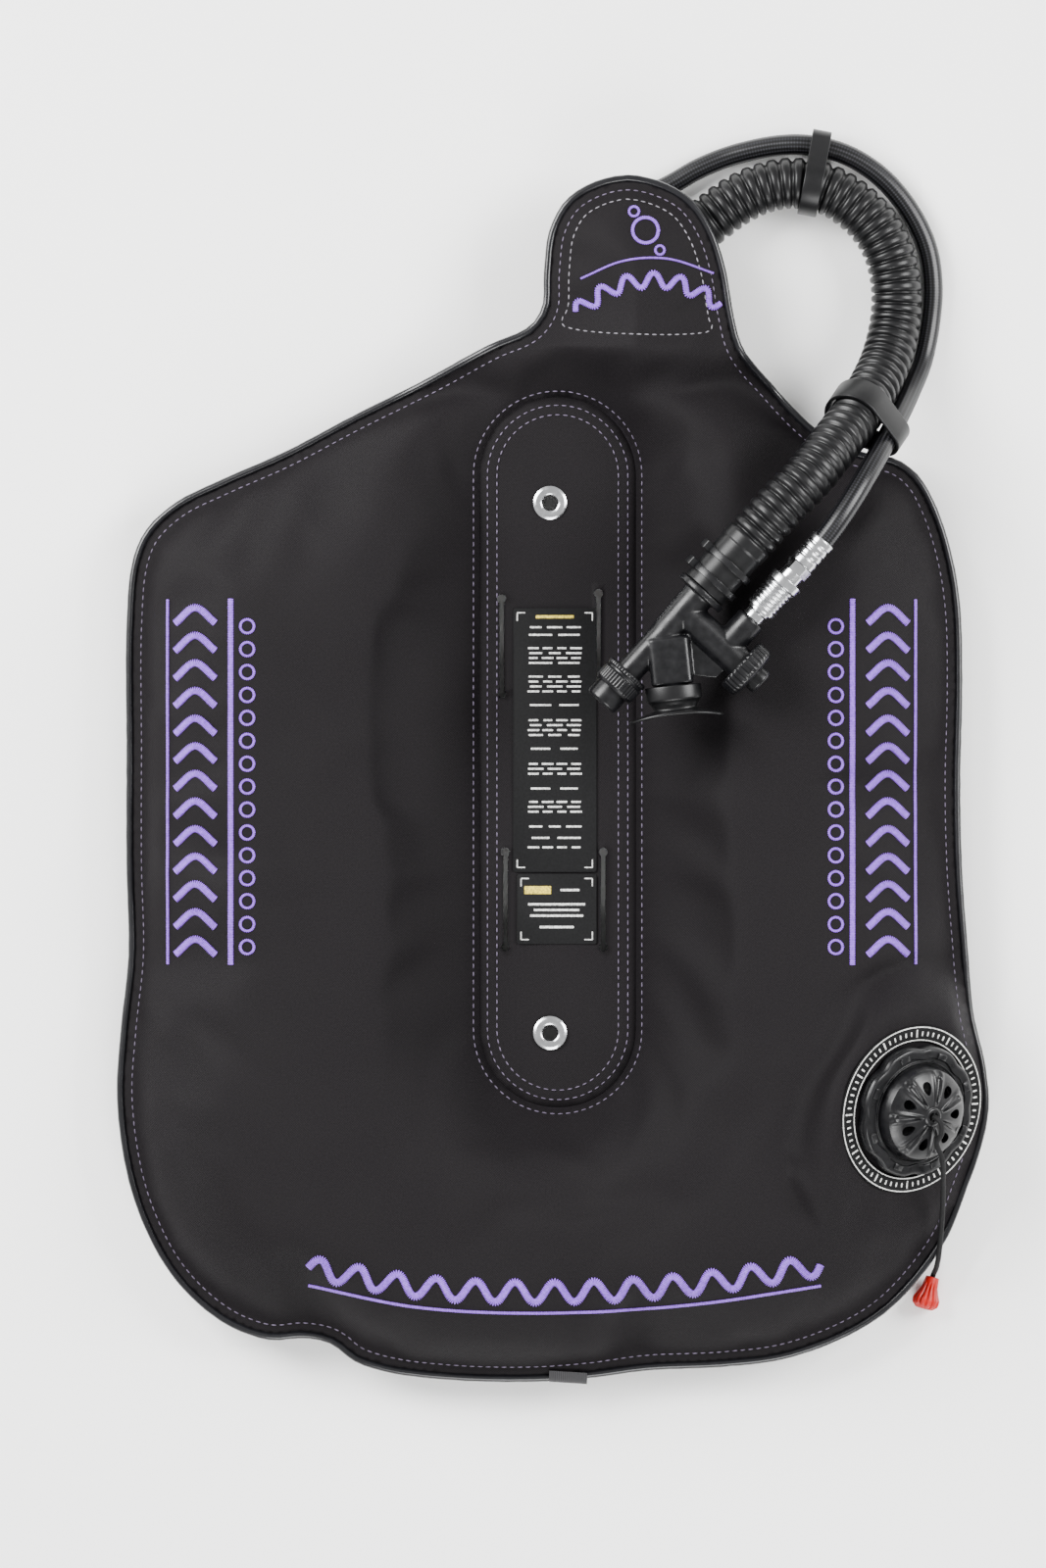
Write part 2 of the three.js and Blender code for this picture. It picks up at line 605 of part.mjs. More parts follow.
piece(wing, 'zip_pull', box(
  PULL.length, PULL.width, PULL.thickness, sliderX + PULL.ahead, zipY, sliderMiddle), 'nickel');

// ---------------------------------------------------------------- elbow port in the neck
const port = new THREE.Group();
port.position.set(ELBOW.x, ELBOW.y, 0);
wing.add(port);
const portInside = portSeatHeight + BLADDER_WALL + GAP;
const RING_TOP = portFace - GAP;
const GASKET = 1.4;
const GASKET_RADIUS = 23;
const NUT = 4;
const NUT_RADIUS = 22;
const nutTop = RING_TOP - GASKET - GAP;
const portFoot = nutTop - NUT;
piece(port, 'port_flange', turned([
  [PORT_BORE, portFoot], [PORT_NECK_RADIUS, portFoot], [PORT_NECK_RADIUS, portInside],
  [portFlange, portInside], [portFlange, portInside + 1.8],
  [PORT_BORE, portInside + 1.8], [PORT_BORE, portFoot],
], 18), 'plastic');
piece(port, 'port_gasket', ring(
  PORT_NECK_RADIUS + GAP, GASKET_RADIUS, RING_TOP - GASKET, RING_TOP, 18), 'rubber');
piece(port, 'port_ring', ring(
  PORT_NECK_RADIUS + GAP, NUT_RADIUS, nutTop - NUT, nutTop, 18), 'plastic');

const hoseArm = new THREE.Group();                        // turns with the elbow
port.add(hoseArm);
const SPOUT_Z = HOSE_RADIUS + KEEPER_SLACK + KEEPER_WALL + GAP;
const elbowTop = portFoot - GAP;
const oRingHeight = elbowTop + 3;
const spigot = PORT_BORE - GAP;
const elbowBody = turned([
  [0, 1.2], [ELBOW_RADIUS - 5, 1.2], [ELBOW_RADIUS, 6], [ELBOW_RADIUS, elbowTop],
  [spigot, elbowTop], [spigot, oRingHeight - 1], [spigot - 1.4, oRingHeight - 1],
  [spigot - 1.4, oRingHeight + 1], [spigot, oRingHeight + 1], [spigot, portInside],
  [0, portInside],
], 18);
const spout = turned([
  [0, 4], [11, 4], [11, 16], [HOSE_BORE - GAP, 16], [HOSE_BORE - GAP, SPOUT_LENGTH - 4],
  [HOSE_BORE - 1.4, SPOUT_LENGTH], [0, SPOUT_LENGTH],
], 20);
const toSpout = THREE.MathUtils.degToRad(ELBOW.heading);
const placeSpout = (geometry) => alongX(geometry).rotateZ(toSpout).translate(0, 0, SPOUT_Z);
piece(hoseArm, 'elbow', shaped(
  [elbowBody, placeSpout(spout)],
  [rod(7.6, SPOUT_Z, portInside + 1, 20), placeSpout(rod(7.6, 0, SPOUT_LENGTH + 1, 20))],
), 'plastic');
const oRing = ring(spigot - 1.1, spigot - 0.05, oRingHeight - 0.7, oRingHeight + 0.7, 20);
piece(hoseArm, 'elbow_o_ring', oRing, 'rubber');

// ---------------------------------------------------------------- inflator
const crest = SEAM_Z + GAP / 2 + CLOTH + LOBE_RISE;
const TIE_INNER = HOSE_RADIUS + GAP;
const TIE_OUTER = TIE_INNER + 1.3;
const inflatorZ = crest + RIDE_GAP
  + Math.max(TIE_OUTER, INFLATE_CAP_RADIUS, MOUTH_FLANGE.depth / 2);
const inflator = new THREE.Group();                       // +X down the barrel, +Y to the button
inflator.position.set(INFLATOR.x, INFLATOR.y, inflatorZ);
inflator.rotation.z = THREE.MathUtils.degToRad(INFLATOR.heading);
wing.add(inflator);

const BARB_LENGTH = 30;
const barrel = alongX(turned([
  [0, -BARB_LENGTH], [HOSE_BORE - 1.4, -BARB_LENGTH], [HOSE_BORE - GAP, -BARB_LENGTH + 4],
  [HOSE_BORE - GAP, -3], [FLANGE_RADIUS, -3], [FLANGE_RADIUS, 0.6], [BARREL_RADIUS + 0.5, 0.6],
  [BARREL_RADIUS - 0.4, BARREL_STEP], [LOWER_BARREL_RADIUS, BARREL_STEP + 4],
  [LOWER_BARREL_RADIUS, BARREL_LENGTH], [0, BARREL_LENGTH],
], 16));
const mouthTurn = THREE.MathUtils.degToRad(MOUTH_ANGLE);
const placeMouth = (geometry) => {
  return alongX(geometry).rotateZ(mouthTurn).translate(MOUTH_X, 0, 0);
};
const stemLength = STEM_BOX.end - STEM_BOX.start;
const stemMiddle = (STEM_BOX.end + STEM_BOX.start) / 2;
const stem = placeMouth(box(STEM_BOX.depth, STEM_BOX.width, stemLength, 0, 0, stemMiddle));
const branch = alongY(rod(BRANCH_RADIUS, 2, BRANCH_END, 20)).translate(BRANCH_X, 0, 0);
const boss = alongX(rod(BOSS_RADIUS, BOSS_END, BRANCH_X - 4, 20)).translate(0, BOSS_Y, 0);
const web = new THREE.ExtrudeGeometry(new THREE.Shape([
  new THREE.Vector2(BRANCH_X, 4), new THREE.Vector2(MOUTH_X, 4), new THREE.Vector2(38, 19),
  new THREE.Vector2(BRANCH_X + 12, 38), new THREE.Vector2(BRANCH_X, 38),
]), { depth: 3, bevelEnabled: false }).translate(0, 0, -1.5);

const SEAT = { start: 18, end: 20, radius: 3.6 };
const wallHole = 2;
piece(inflator, 'inflator_body', shaped(
  [barrel, stem, placeMouth(rod(SPIGOT_RADIUS, STEM_BOX.end - 1, SPIGOT_END, 20)), branch, boss, web],
  [
    alongX(rod(BARREL_BORE, -BARB_LENGTH - 1, SEAT.start, 20)),
    alongX(rod(SEAT.radius, SEAT.start - 1, SEAT.end + 1, 16)),
    alongX(rod(LOWER_BARREL_BORE, SEAT.end, BARREL_LENGTH - 3, 20)),
    alongX(rod(wallHole, BARREL_LENGTH - 4, BARREL_LENGTH + 1, 12)),
    placeMouth(rod(5.4, 3, SPIGOT_END + 1, 16)),
    alongY(rod(2.6, 0, 25, 12)).translate(BRANCH_X, 0, 0),
    alongY(rod(CHAMBER_BORE, 24, BRANCH_END + 1, 20)).translate(BRANCH_X, 0, 0),
    alongX(rod(4.3, BOSS_END - 1, BOSS_END + 8, 16)).translate(0, BOSS_Y, 0),
    alongX(rod(1.7, BOSS_END, BRANCH_X, 12)).translate(0, BOSS_Y, 0),
  ],
), 'plastic');

const mouthpiece = shaped([
  ellipseRod(29.5, 21, STEM_BOX.end + GAP, STEM_BOX.end + 7.6),
  ellipseRod(23, 16, STEM_BOX.end + 7, MOUTH_FLANGE.start + 0.5),
  ellipseRod(MOUTH_FLANGE.width, MOUTH_FLANGE.depth, MOUTH_FLANGE.start,
    MOUTH_FLANGE.start + MOUTH_FLANGE.thickness, 28),
], [
  rod(SPIGOT_RADIUS + GAP, STEM_BOX.end - 1, SPIGOT_END + GAP, 20),
  ellipseRod(15, 9, SPIGOT_END, MOUTH_FLANGE.start + 5, 16),
]);
mouthpiece.rotateZ(Math.PI / 2);
piece(inflator, 'mouthpiece', placeMouth(mouthpiece), 'rubber');

// Deflate valve: the button's stem runs up the barrel and lifts a disc off its seat.
const DEFLATE_REST = DEFLATE_CAP_END - 0.7;
const deflateRecess = DEFLATE_REST - DEFLATE_TRAVEL - 0.6;
piece(inflator, 'deflate_cap', alongX(turned([
  [LOWER_BARREL_RADIUS + GAP, DEFLATE_CAP_START], [DEFLATE_CAP_RADIUS, DEFLATE_CAP_START],
  [DEFLATE_CAP_RADIUS, DEFLATE_CAP_END], [DEFLATE_BUTTON_RADIUS + GAP, DEFLATE_CAP_END],
  [DEFLATE_BUTTON_RADIUS + GAP, deflateRecess], [LOWER_BARREL_RADIUS + GAP, deflateRecess],
  [LOWER_BARREL_RADIUS + GAP, DEFLATE_CAP_START],
], 18)), 'plastic');
const STEM_RADIUS = 1.5;
const buttonEnd = DEFLATE_REST + 10;
piece(inflator, 'deflate_button', alongX(turned([
  [STEM_RADIUS + GAP, DEFLATE_REST + 7.6], [STEM_RADIUS + GAP, DEFLATE_REST + 3],
  [3.4, DEFLATE_REST + 3], [3.4, DEFLATE_REST + 7], [7.4, DEFLATE_REST + 7], [7.4, DEFLATE_REST],
  [DEFLATE_BUTTON_RADIUS, DEFLATE_REST], [DEFLATE_BUTTON_RADIUS, buttonEnd - 0.8],
  [DEFLATE_BUTTON_RADIUS - 0.8, buttonEnd], [0, buttonEnd], [0, DEFLATE_REST + 7.6],
  [STEM_RADIUS + GAP, DEFLATE_REST + 7.6],
], 18)), 'plastic');
const discStart = SEAT.start - GAP - 1.8;
piece(inflator, 'deflate_stem', alongX(turned([
  [0, discStart - 2.4], [3, discStart - 2.4], [3, discStart - GAP], [STEM_RADIUS, discStart - GAP],
  [STEM_RADIUS, DEFLATE_REST + 7.3], [0, DEFLATE_REST + 7.3],
], 12)), 'steel');
const deflateSeal = ring(STEM_RADIUS + GAP, 4.8, discStart, SEAT.start - GAP, 16);
piece(inflator, 'deflate_seal', alongX(deflateSeal), 'rubber');
const deflateSpring = spring(5.4, 0.9, BARREL_LENGTH + GAP, DEFLATE_REST + 6.8, 4);
piece(inflator, 'deflate_spring', alongX(deflateSpring), 'steel');

// Inflate valve: the button pushes a stem against its spring over a brass seat.
const inflateWeb = BRANCH_END + GAP;
const inflateFloor = inflateWeb + 1.7;
const inflateRest = inflateFloor + INFLATE_TRAVEL + 0.3;
const toBranch = (geometry) => alongY(geometry).translate(BRANCH_X, 0, 0);
piece(inflator, 'inflate_cap', toBranch(turned([
  [BRANCH_RADIUS + GAP, INFLATE_CAP_START], [INFLATE_CAP_RADIUS, INFLATE_CAP_START],
  [INFLATE_CAP_RADIUS, INFLATE_CAP_END], [INFLATE_BUTTON_RADIUS + GAP, INFLATE_CAP_END],
  [INFLATE_BUTTON_RADIUS + GAP, inflateFloor], [2.6, inflateFloor], [2.6, inflateWeb],
  [BRANCH_RADIUS + GAP, inflateWeb], [BRANCH_RADIUS + GAP, INFLATE_CAP_START],
], 18)), 'plastic');
piece(inflator, 'inflate_button', toBranch(turned([
  [0, inflateRest + 3], [2.2, inflateRest + 3], [2.2, inflateRest],
  [INFLATE_BUTTON_RADIUS, inflateRest], [INFLATE_BUTTON_RADIUS, inflateRest + 6],
  [INFLATE_BUTTON_RADIUS - 1.2, inflateRest + 7], [0, inflateRest + 7],
], 18)), 'plastic');
piece(inflator, 'inflate_stem', toBranch(turned([
  [0, 31.6], [1.6, 31.6], [1.6, 37], [3.4, 37], [3.4, 38.4], [1.9, 38.4],
  [1.9, inflateRest + 2.7], [0, inflateRest + 2.7],
], 12)), 'steel');
piece(inflator, 'inflate_seat', toBranch(ring(1.2, CHAMBER_BORE - GAP, 24.6, 26.6, 16)), 'nickel');
const inflateSpring = spring(2.9, 0.6, 26.9, 36.7, 5);
piece(inflator, 'inflate_spring', toBranch(inflateSpring), 'steel');

// Quick coupling: nipple in the boss, then body, spring and sliding sleeve of the supply hose.
const toCoupling = (geometry) => geometry.rotateY(-Math.PI / 2).translate(BOSS_END, BOSS_Y, 0);
piece(inflator, 'lp_nipple', toCoupling(turned([
  [1.6, -6.5], [4, -6.5], [4, GAP], [5.5, GAP], [5.5, 4.4], [4.1, 4.4], [4.1, 15], [1.6, 15],
  [1.6, -6.5],
], 16)), 'nickel');
const NUT_START = 33;
const COUPLER_END = 38.4;
piece(inflator, 'coupler_body', toCoupling(turned([
  [4.4, 4.9], [COUPLER_BODY_RADIUS, 4.9], [COUPLER_BODY_RADIUS, 12], [5.1, 12], [5.1, 24],
  [COUPLER_BODY_RADIUS, 24], [COUPLER_BODY_RADIUS, NUT_START], [7.2, NUT_START],
  [7.2, COUPLER_END], [2.2, COUPLER_END], [2.2, 16], [4.4, 16],
  [4.4, 4.9],
], 18)), 'nickel');
const sleeveBore = COUPLER_BODY_RADIUS + GAP;
piece(inflator, 'coupler_sleeve', toCoupling(turned([
  [sleeveBore, 6.4], [SLEEVE_RADIUS, 6.4], [SLEEVE_RADIUS, 23], [9.2, 23.6], [9.2, 28],
  [sleeveBore, 28], [sleeveBore, 6.4],
], 16)), 'nickel');
const couplerSpring = spring(5.9, 0.5, 12.4, 23.6, 6);
piece(inflator, 'coupler_spring', toCoupling(couplerSpring), 'steel');
const FERRULE_END = 56;
const FERRULE_WALL = 0.95;
const ferruleRadius = LP_RADIUS + GAP + FERRULE_WALL;
piece(inflator, 'lp_ferrule', toCoupling(ring(
  LP_RADIUS + GAP, ferruleRadius, COUPLER_END + GAP, FERRULE_END, 16)), 'nickel');

// ---------------------------------------------------------------- hoses
inflator.updateMatrixWorld(true);
const onInflator = (x, y) => new THREE.Vector3(x, y, 0).applyMatrix4(inflator.matrixWorld);
const onSpout = (reach) => new THREE.Vector3(
  ELBOW.x + reach * Math.cos(toSpout), ELBOW.y + reach * Math.sin(toSpout), SPOUT_Z);

/** Route points whose third value is the climb, 0 on the floor and 1 level with the inflator. */
function route(points, floor) {
  return points.map(([x, y, climb]) => {
    return new THREE.Vector3(x, y, THREE.MathUtils.lerp(floor, inflatorZ, climb));
  });
}

const hoseCurve = new THREE.CatmullRomCurve3([
  onSpout(16 + GAP), onSpout(24), onSpout(34),
  ...route([
    [95, 304, 0], [107.5, 310.5, 0], [121, 314, 0], [133, 314, 0], [145, 311, 0],
    [157.5, 303.5, 0], [168.5, 293, 0], [176.5, 279.5, 0], [181, 261, 0], [180.5, 241, 0.02],
    [175.5, 221, 0.14], [168.5, 206, 0.32], [158.5, 190, 0.57], [147, 175, 0.79],
    [133, 157.5, 0.94],
  ], SPOUT_Z),
  onInflator(-58, 0), onInflator(-46, 0), onInflator(-30, 0), onInflator(-3 - GAP, 0),
], false, 'centripetal');
piece(wing, 'corrugated_hose', tube(hoseCurve, HOSE_RADIUS, 32, 10, HOSE_BORE), 'rubber');

const LP_FLOOR = LP_RADIUS + 0.4;
const lpCurve = new THREE.CatmullRomCurve3([
  onInflator(BOSS_END - COUPLER_END - 2 * GAP, BOSS_Y),
  onInflator(BOSS_END - FERRULE_END, BOSS_Y),
  ...route([
    [151.5, 139, 0.98], [161.5, 155, 0.9], [171, 171.5, 0.72], [180, 187.5, 0.47],
    [188.5, 205, 0.2], [195, 221, 0.05], [199, 240, 0], [200.5, 261, 0], [197.5, 281, 0],
    [188.5, 300, 0.01], [175, 316.5, 0.03], [159.5, 327.5, 0.05], [145, 333, 0.06],
    [131.5, 335, 0.06], [118, 334.5, 0.04], [104, 332, 0.02], [90, 328, 0], [76, 322, 0],
    [63, 314.5, 0],
  ], LP_FLOOR),
], false, 'centripetal');
piece(wing, 'lp_hose', tube(lpCurve, LP_RADIUS, 40, 8), 'rubber');

// The rest of the supply hose lies under the neck and the centre panel, out of the way.
const TAIL_END = { x: 20, y: 136 };
const TAIL_RISE = 1.3;                             // the end fitting is fatter than the hose
const tailCurve = new THREE.CatmullRomCurve3([
  ...route([
    [62, 314, 0], [49, 307.5, 0], [35, 300, 0], [22.5, 289, 0], [13.5, 273, 0],
    [10, 255, 0], [11, 236, 0], [13.5, 214, 0], [16.5, 190, 0], [19, 165, 0.002],
    [20, 150, 0.012], [TAIL_END.x, TAIL_END.y, TAIL_RISE / (inflatorZ - LP_FLOOR)],
  ], LP_FLOOR),
], false, 'centripetal');
piece(wing, 'lp_hose_tail', tube(tailCurve, LP_RADIUS, 16, 8), 'rubber');
const tailFitting = new THREE.Group();                    // +X runs on towards the free end
tailFitting.position.set(TAIL_END.x, TAIL_END.y, LP_FLOOR + TAIL_RISE);
tailFitting.rotation.z = -Math.PI / 2;
wing.add(tailFitting);
piece(tailFitting, 'lp_end_ferrule', alongX(ring(LP_RADIUS + GAP, ferruleRadius, -13, -1, 16)), 'nickel');
piece(tailFitting, 'lp_end_fitting', alongX(turned([
  [1.6, GAP], [6.9, GAP], [6.9, 10], [4, 10], [4, 13], [3.3, 13], [3.3, 15], [4.7, 15],
  [4.7, 22], [1.6, 22], [1.6, GAP],
], 16)), 'nickel');
piece(tailFitting, 'lp_o_ring', alongX(ring(3.6, 5.2, 13.3, 14.7, 16)), 'rubber');

/** A rubber keeper round both hoses, where the corrugated hose has covered a share of its length. */
function keeper(share, width) {
  const centre = hoseCurve.getPointAt(share);
  const along = hoseCurve.getTangentAt(share);
  let partner = null;
  let nearest = Infinity;
  for (const point of lpCurve.getSpacedPoints(600)) {
    const offset = Math.abs(point.clone().sub(centre).dot(along));
    if (offset < nearest && point.distanceTo(centre) < 3 * HOSE_RADIUS) {
      nearest = offset;
      partner = point;
    }
  }
  const aside = partner.clone().sub(centre);
  const spacing = aside.length();
  const [big, small] = [HOSE_RADIUS + KEEPER_SLACK, LP_RADIUS + KEEPER_SLACK];
  const lean = Math.acos((big - small) / spacing);
  const arc = (x, radius, from, to, count) => Array.from({ length: count }, (_, i) => {
    const angle = from + ((to - from) * i) / (count - 1);
    return new THREE.Vector2(x + radius * Math.cos(angle), radius * Math.sin(angle));
  });
  const loop = new THREE.Shape([
    ...arc(0, big + KEEPER_WALL, lean, 2 * Math.PI - lean, 14),
    ...arc(spacing, small + KEEPER_WALL, -lean, lean, 8),
  ]);
  const depth = { depth: width, bevelEnabled: false };
  const band = shaped([new THREE.ExtrudeGeometry(loop, depth)], [
    rod(big, -1, width + 1, 16), rod(small, -1, width + 1, 16).translate(spacing, 0, 0),
  ]);
  const xAxis = aside.clone().sub(along.clone().multiplyScalar(aside.dot(along))).normalize();
  const yAxis = new THREE.Vector3().crossVectors(along, xAxis);
  band.translate(0, 0, -width / 2);
  band.applyMatrix4(new THREE.Matrix4().makeBasis(xAxis, yAxis, along));
  return band.translate(centre.x, centre.y, centre.z);
}
piece(wing, 'hose_keeper_upper', keeper(0.215, 10), 'rubber');
piece(wing, 'hose_keeper_lower', keeper(0.64, 15), 'rubber');

/** A cable tie round a hose cuff, with its lock at one side. */
function cableTie(at, lockAngle) {
  const loop = ring(TIE_INNER, TIE_OUTER, at - 1.8, at + 1.8, 24);
  const lock = box(4.6, 6, 5, TIE_OUTER + 1.6, 0, at).rotateZ(lockAngle);
  return shaped([loop, lock]);
}
piece(inflator, 'cuff_tie_front', alongX(cableTie(-10, -Math.PI / 2 - 0.5)), 'plastic');
piece(inflator, 'cuff_tie_rear', alongX(cableTie(-21.5, -Math.PI / 2 - 0.5)), 'plastic');
const elbowTie = alongX(ring(TIE_INNER, TIE_OUTER, 24, 27.6, 24)).rotateZ(toSpout);
piece(hoseArm, 'elbow_tie', elbowTie.translate(0, 0, SPOUT_Z), 'plastic');

// ---------------------------------------------------------------- dump valve
const valve = new THREE.Group();                          // +Z out of the wing along the valve axis
valve.position.copy(valveCentre);
valve.quaternion.setFromUnitVectors(new THREE.Vector3(0, 0, 1), valveAxis);
wing.add(valve);
const valveInside = -(valveSeatDrop + BLADDER_WALL + GAP);
const SEAT_RIM = 5;
piece(valve, 'valve_base', turned([
  [VALVE_NECK_BORE, valveInside - 2.2], [VALVE_FLANGE_RADIUS, valveInside - 2.2],
  [VALVE_FLANGE_RADIUS, valveInside],
  [VALVE_NECK_RADIUS, valveInside], [VALVE_NECK_RADIUS, SEAT_RIM], [VALVE_NECK_BORE, SEAT_RIM],
  [VALVE_NECK_BORE, valveInside - 2.2],
], 20), 'plastic');
const VALVE_GASKET = { radius: 33, top: 1.5 };
const gasketRing = ring(valveBore, VALVE_GASKET.radius, GAP, VALVE_GASKET.top, 20);
piece(valve, 'valve_gasket', gasketRing, 'rubber');
const bodyRing = turned([
  [VALVE_NECK_RADIUS + GAP, 1.8], [VALVE_BODY_RADIUS, 1.8], [VALVE_BODY_RADIUS, 7.2],
  [VALVE_BODY_RADIUS - 1.5, 8.4], [DOME_RADIUS + 1, 8.4], [DOME_RADIUS + 1, 7.4],
  [VALVE_NECK_RADIUS + GAP, 7.4], [VALVE_NECK_RADIUS + GAP, 1.8],
], 18);
const notches = Array.from({ length: 8 }, (_, i) => {
  return box(7, 6, 4, VALVE_BODY_RADIUS - 1, 0, 8).rotateZ((Math.PI * i) / 4);
});
piece(valve, 'valve_body', shaped([bodyRing], notches), 'plastic');
const dome = turned([
  [EYELET_RADIUS, DOME_TOP], [EYELET_RADIUS, DOME_TOP - 2.2], [10, DOME_TOP - 3.2],
  [17.8, 15.2], [22.5, 11.5], [DOME_RADIUS - 2.2, 7.7], [DOME_RADIUS, 7.7],
  [DOME_RADIUS - 0.7, 12], [20, 16.7], [11.5, 20], [EYELET_RADIUS, DOME_TOP],
], 20);
const vents = Array.from({ length: 7 }, (_, i) => {
  return rod(DOME_HOLE, 6, 24, 6).translate(14.5, 0, 0).rotateZ((2 * Math.PI * i) / 7);
});
piece(valve, 'valve_dome', shaped([dome], vents), 'plastic');
piece(valve, 'valve_poppet', turned([
  [0, SEAT_RIM + 2.2], [18.6, SEAT_RIM + 2.2], [18.6, SEAT_RIM + 4], [5, SEAT_RIM + 4],
  [5, SEAT_RIM + 5], [1.6, SEAT_RIM + 5], [1.6, 13.4], [0, 13.4],
], 18), 'plastic');
piece(valve, 'valve_seal', ring(12, 19, SEAT_RIM + GAP, SEAT_RIM + 1.9, 18), 'rubber');
piece(valve, 'valve_spring', spring(7.5, 0.9, SEAT_RIM + 4.3, DOME_TOP - 3.4, 4), 'steel');

// The printed ring lies on the cover round the valve.
piece(valve, 'badge_ring', ring(VALVE_BODY_RADIUS + 1, BADGE_RADIUS, GAP, 1.3, 28), 'rubber');

// The pull cord leaves the eyelet in the dome and hangs over the edge to its knob.
const KNOB = { x: 200.6, y: -263, heading: -106, length: 17.4, radius: 7.3 };
const knobShift = valveCentre.clone().sub(new THREE.Vector3(VALVE.x, VALVE.y, valveCentre.z));
const onValve = (x, y, z) => new THREE.Vector3(x, y, z).applyQuaternion(valve.quaternion)
  .add(valveCentre);
const knobZ = KNOB.radius + 0.3;
const knobTurn = THREE.MathUtils.degToRad(KNOB.heading);
const cordRoute = [
  [203.8, -199, 68], [204.5, -212, 57], [204.6, -224, 47.5], [204.2, -236, 39],
  [203.6, -246, 32], [202.9, -253.5, 24.5], [202, -258.5, 16],
];
const cordCurve = new THREE.CatmullRomCurve3([
  onValve(0, 0, DOME_TOP - 1.6), onValve(0, 0, DOME_TOP + 2.2), onValve(1.3, -2.6, DOME_TOP + 5),
  onValve(2.2, -8, DOME_TOP + 4.4), onValve(2.4, -14, DOME_TOP + 0.6),
  ...cordRoute.map(([x, y, z]) => new THREE.Vector3(x, y, z).add(knobShift)),
  new THREE.Vector3(
    KNOB.x - 1.5 * Math.cos(knobTurn), KNOB.y - 1.5 * Math.sin(knobTurn), knobZ + 0.4).add(knobShift),
  new THREE.Vector3(
    KNOB.x + 3 * Math.cos(knobTurn), KNOB.y + 3 * Math.sin(knobTurn), knobZ).add(knobShift),
], false, 'centripetal');
piece(wing, 'pull_cord', tube(cordCurve, CORD_RADIUS, 22, 8), 'nylon');
const knob = alongX(turned([
  [0, 3.6], [CORD_RADIUS + 0.5, 3.6], [CORD_RADIUS + 0.5, 0], [3.6, 0], [4.2, 5.5],
  [KNOB.radius, 12], [KNOB.radius - 0.4, 15.4], [4.4, KNOB.length], [0, KNOB.length],
], 18)).rotateZ(knobTurn);
knob.translate(KNOB.x + knobShift.x, KNOB.y + knobShift.y, knobZ);
piece(wing, 'pull_knob', knob, 'red');

wing.updateMatrixWorld(true);

export default wing;
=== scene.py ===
"""A technical-diving wing: a buoyancy bladder in a black nylon cover, lying face up on a pale floor, with its
corrugated hose, power inflator, supply hose and pull-cord dump valve. Sizes are in millimetres unless they say so."""
import math

import bmesh
import bpy
import numpy as np
from mathutils import Matrix, Vector, geometry
from mathutils.bvhtree import BVHTree


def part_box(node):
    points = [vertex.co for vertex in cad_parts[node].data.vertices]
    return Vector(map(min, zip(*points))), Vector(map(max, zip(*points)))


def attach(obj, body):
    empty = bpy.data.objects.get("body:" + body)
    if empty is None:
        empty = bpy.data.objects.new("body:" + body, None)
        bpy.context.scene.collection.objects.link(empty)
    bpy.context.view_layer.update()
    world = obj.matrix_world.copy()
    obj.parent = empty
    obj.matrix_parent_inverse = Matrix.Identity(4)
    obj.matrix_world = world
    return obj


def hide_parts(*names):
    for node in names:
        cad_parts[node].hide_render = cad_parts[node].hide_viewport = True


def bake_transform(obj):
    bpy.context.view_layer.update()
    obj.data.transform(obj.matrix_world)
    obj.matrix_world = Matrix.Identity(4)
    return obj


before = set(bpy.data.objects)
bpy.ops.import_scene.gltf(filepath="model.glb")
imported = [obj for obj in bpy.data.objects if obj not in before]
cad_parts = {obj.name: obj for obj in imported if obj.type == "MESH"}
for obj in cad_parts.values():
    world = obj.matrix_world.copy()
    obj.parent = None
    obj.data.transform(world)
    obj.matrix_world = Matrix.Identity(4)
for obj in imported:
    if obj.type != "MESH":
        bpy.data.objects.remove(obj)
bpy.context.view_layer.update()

MM = 0.001
scene = bpy.context.scene

# ---------------------------------------------------------------- camera, floor and studio light
# The camera looks straight down from far above, so that the wing shows in plan with almost no perspective.
# A matt white floor and three large softboxes give the even light of a product table.
CAMERA_LENS = 300.0                # millimetres, on a sensor 36 mm high
VIEW_HEIGHT = 826.3                # what the frame takes in from top to bottom, at the grommets' height
VIEW_CENTRE = (-15.75, -2.6)
GROMMET_FACE = 25.0
FLOOR_SIZE = 14                    # metres
ROOM_LIGHT = 0.8


def linear(hex_colour):
    """An sRGB hex colour as linear red, green, blue and alpha."""
    parts = [int(hex_colour[i:i + 2], 16) / 255 for i in (1, 3, 5)]
    return tuple(c / 12.92 if c <= 0.04045 else ((c + 0.055) / 1.055) ** 2.4 for c in parts) + (1.0,)


def add_node(tree, kind, settings=None, **inputs):
    """Adds a node, sets its properties, and sets or links its inputs, named or numbered as _0, _1 and so on."""
    node = tree.nodes.new(kind)
    for name, value in (settings or {}).items():
        setattr(node, name, value)
    for name, value in inputs.items():
        socket = node.inputs[int(name[1:])] if name[0] == "_" else node.inputs[name.replace("_", " ")]
        if isinstance(value, bpy.types.NodeSocket):
            tree.links.new(value, socket)
        else:
            socket.default_value = value
    return node


def material(name, **inputs):
    """A new Principled material with these inputs set. Returns it, its node tree and its shader node."""
    made = bpy.data.materials.new(name)
    made.use_nodes = True
    shader = made.node_tree.nodes["Principled BSDF"]
    for key, value in inputs.items():
        shader.inputs[key.replace("_", " ")].default_value = value
    return made, made.node_tree, shader


camera = bpy.data.objects.new("camera", bpy.data.cameras.new("camera"))
camera.data.lens = CAMERA_LENS
camera.data.clip_end = 60
camera_distance = CAMERA_LENS / camera.data.sensor_width * VIEW_HEIGHT
camera.location = Vector((*VIEW_CENTRE, GROMMET_FACE + camera_distance)) * MM
scene.collection.objects.link(camera)
scene.camera = camera

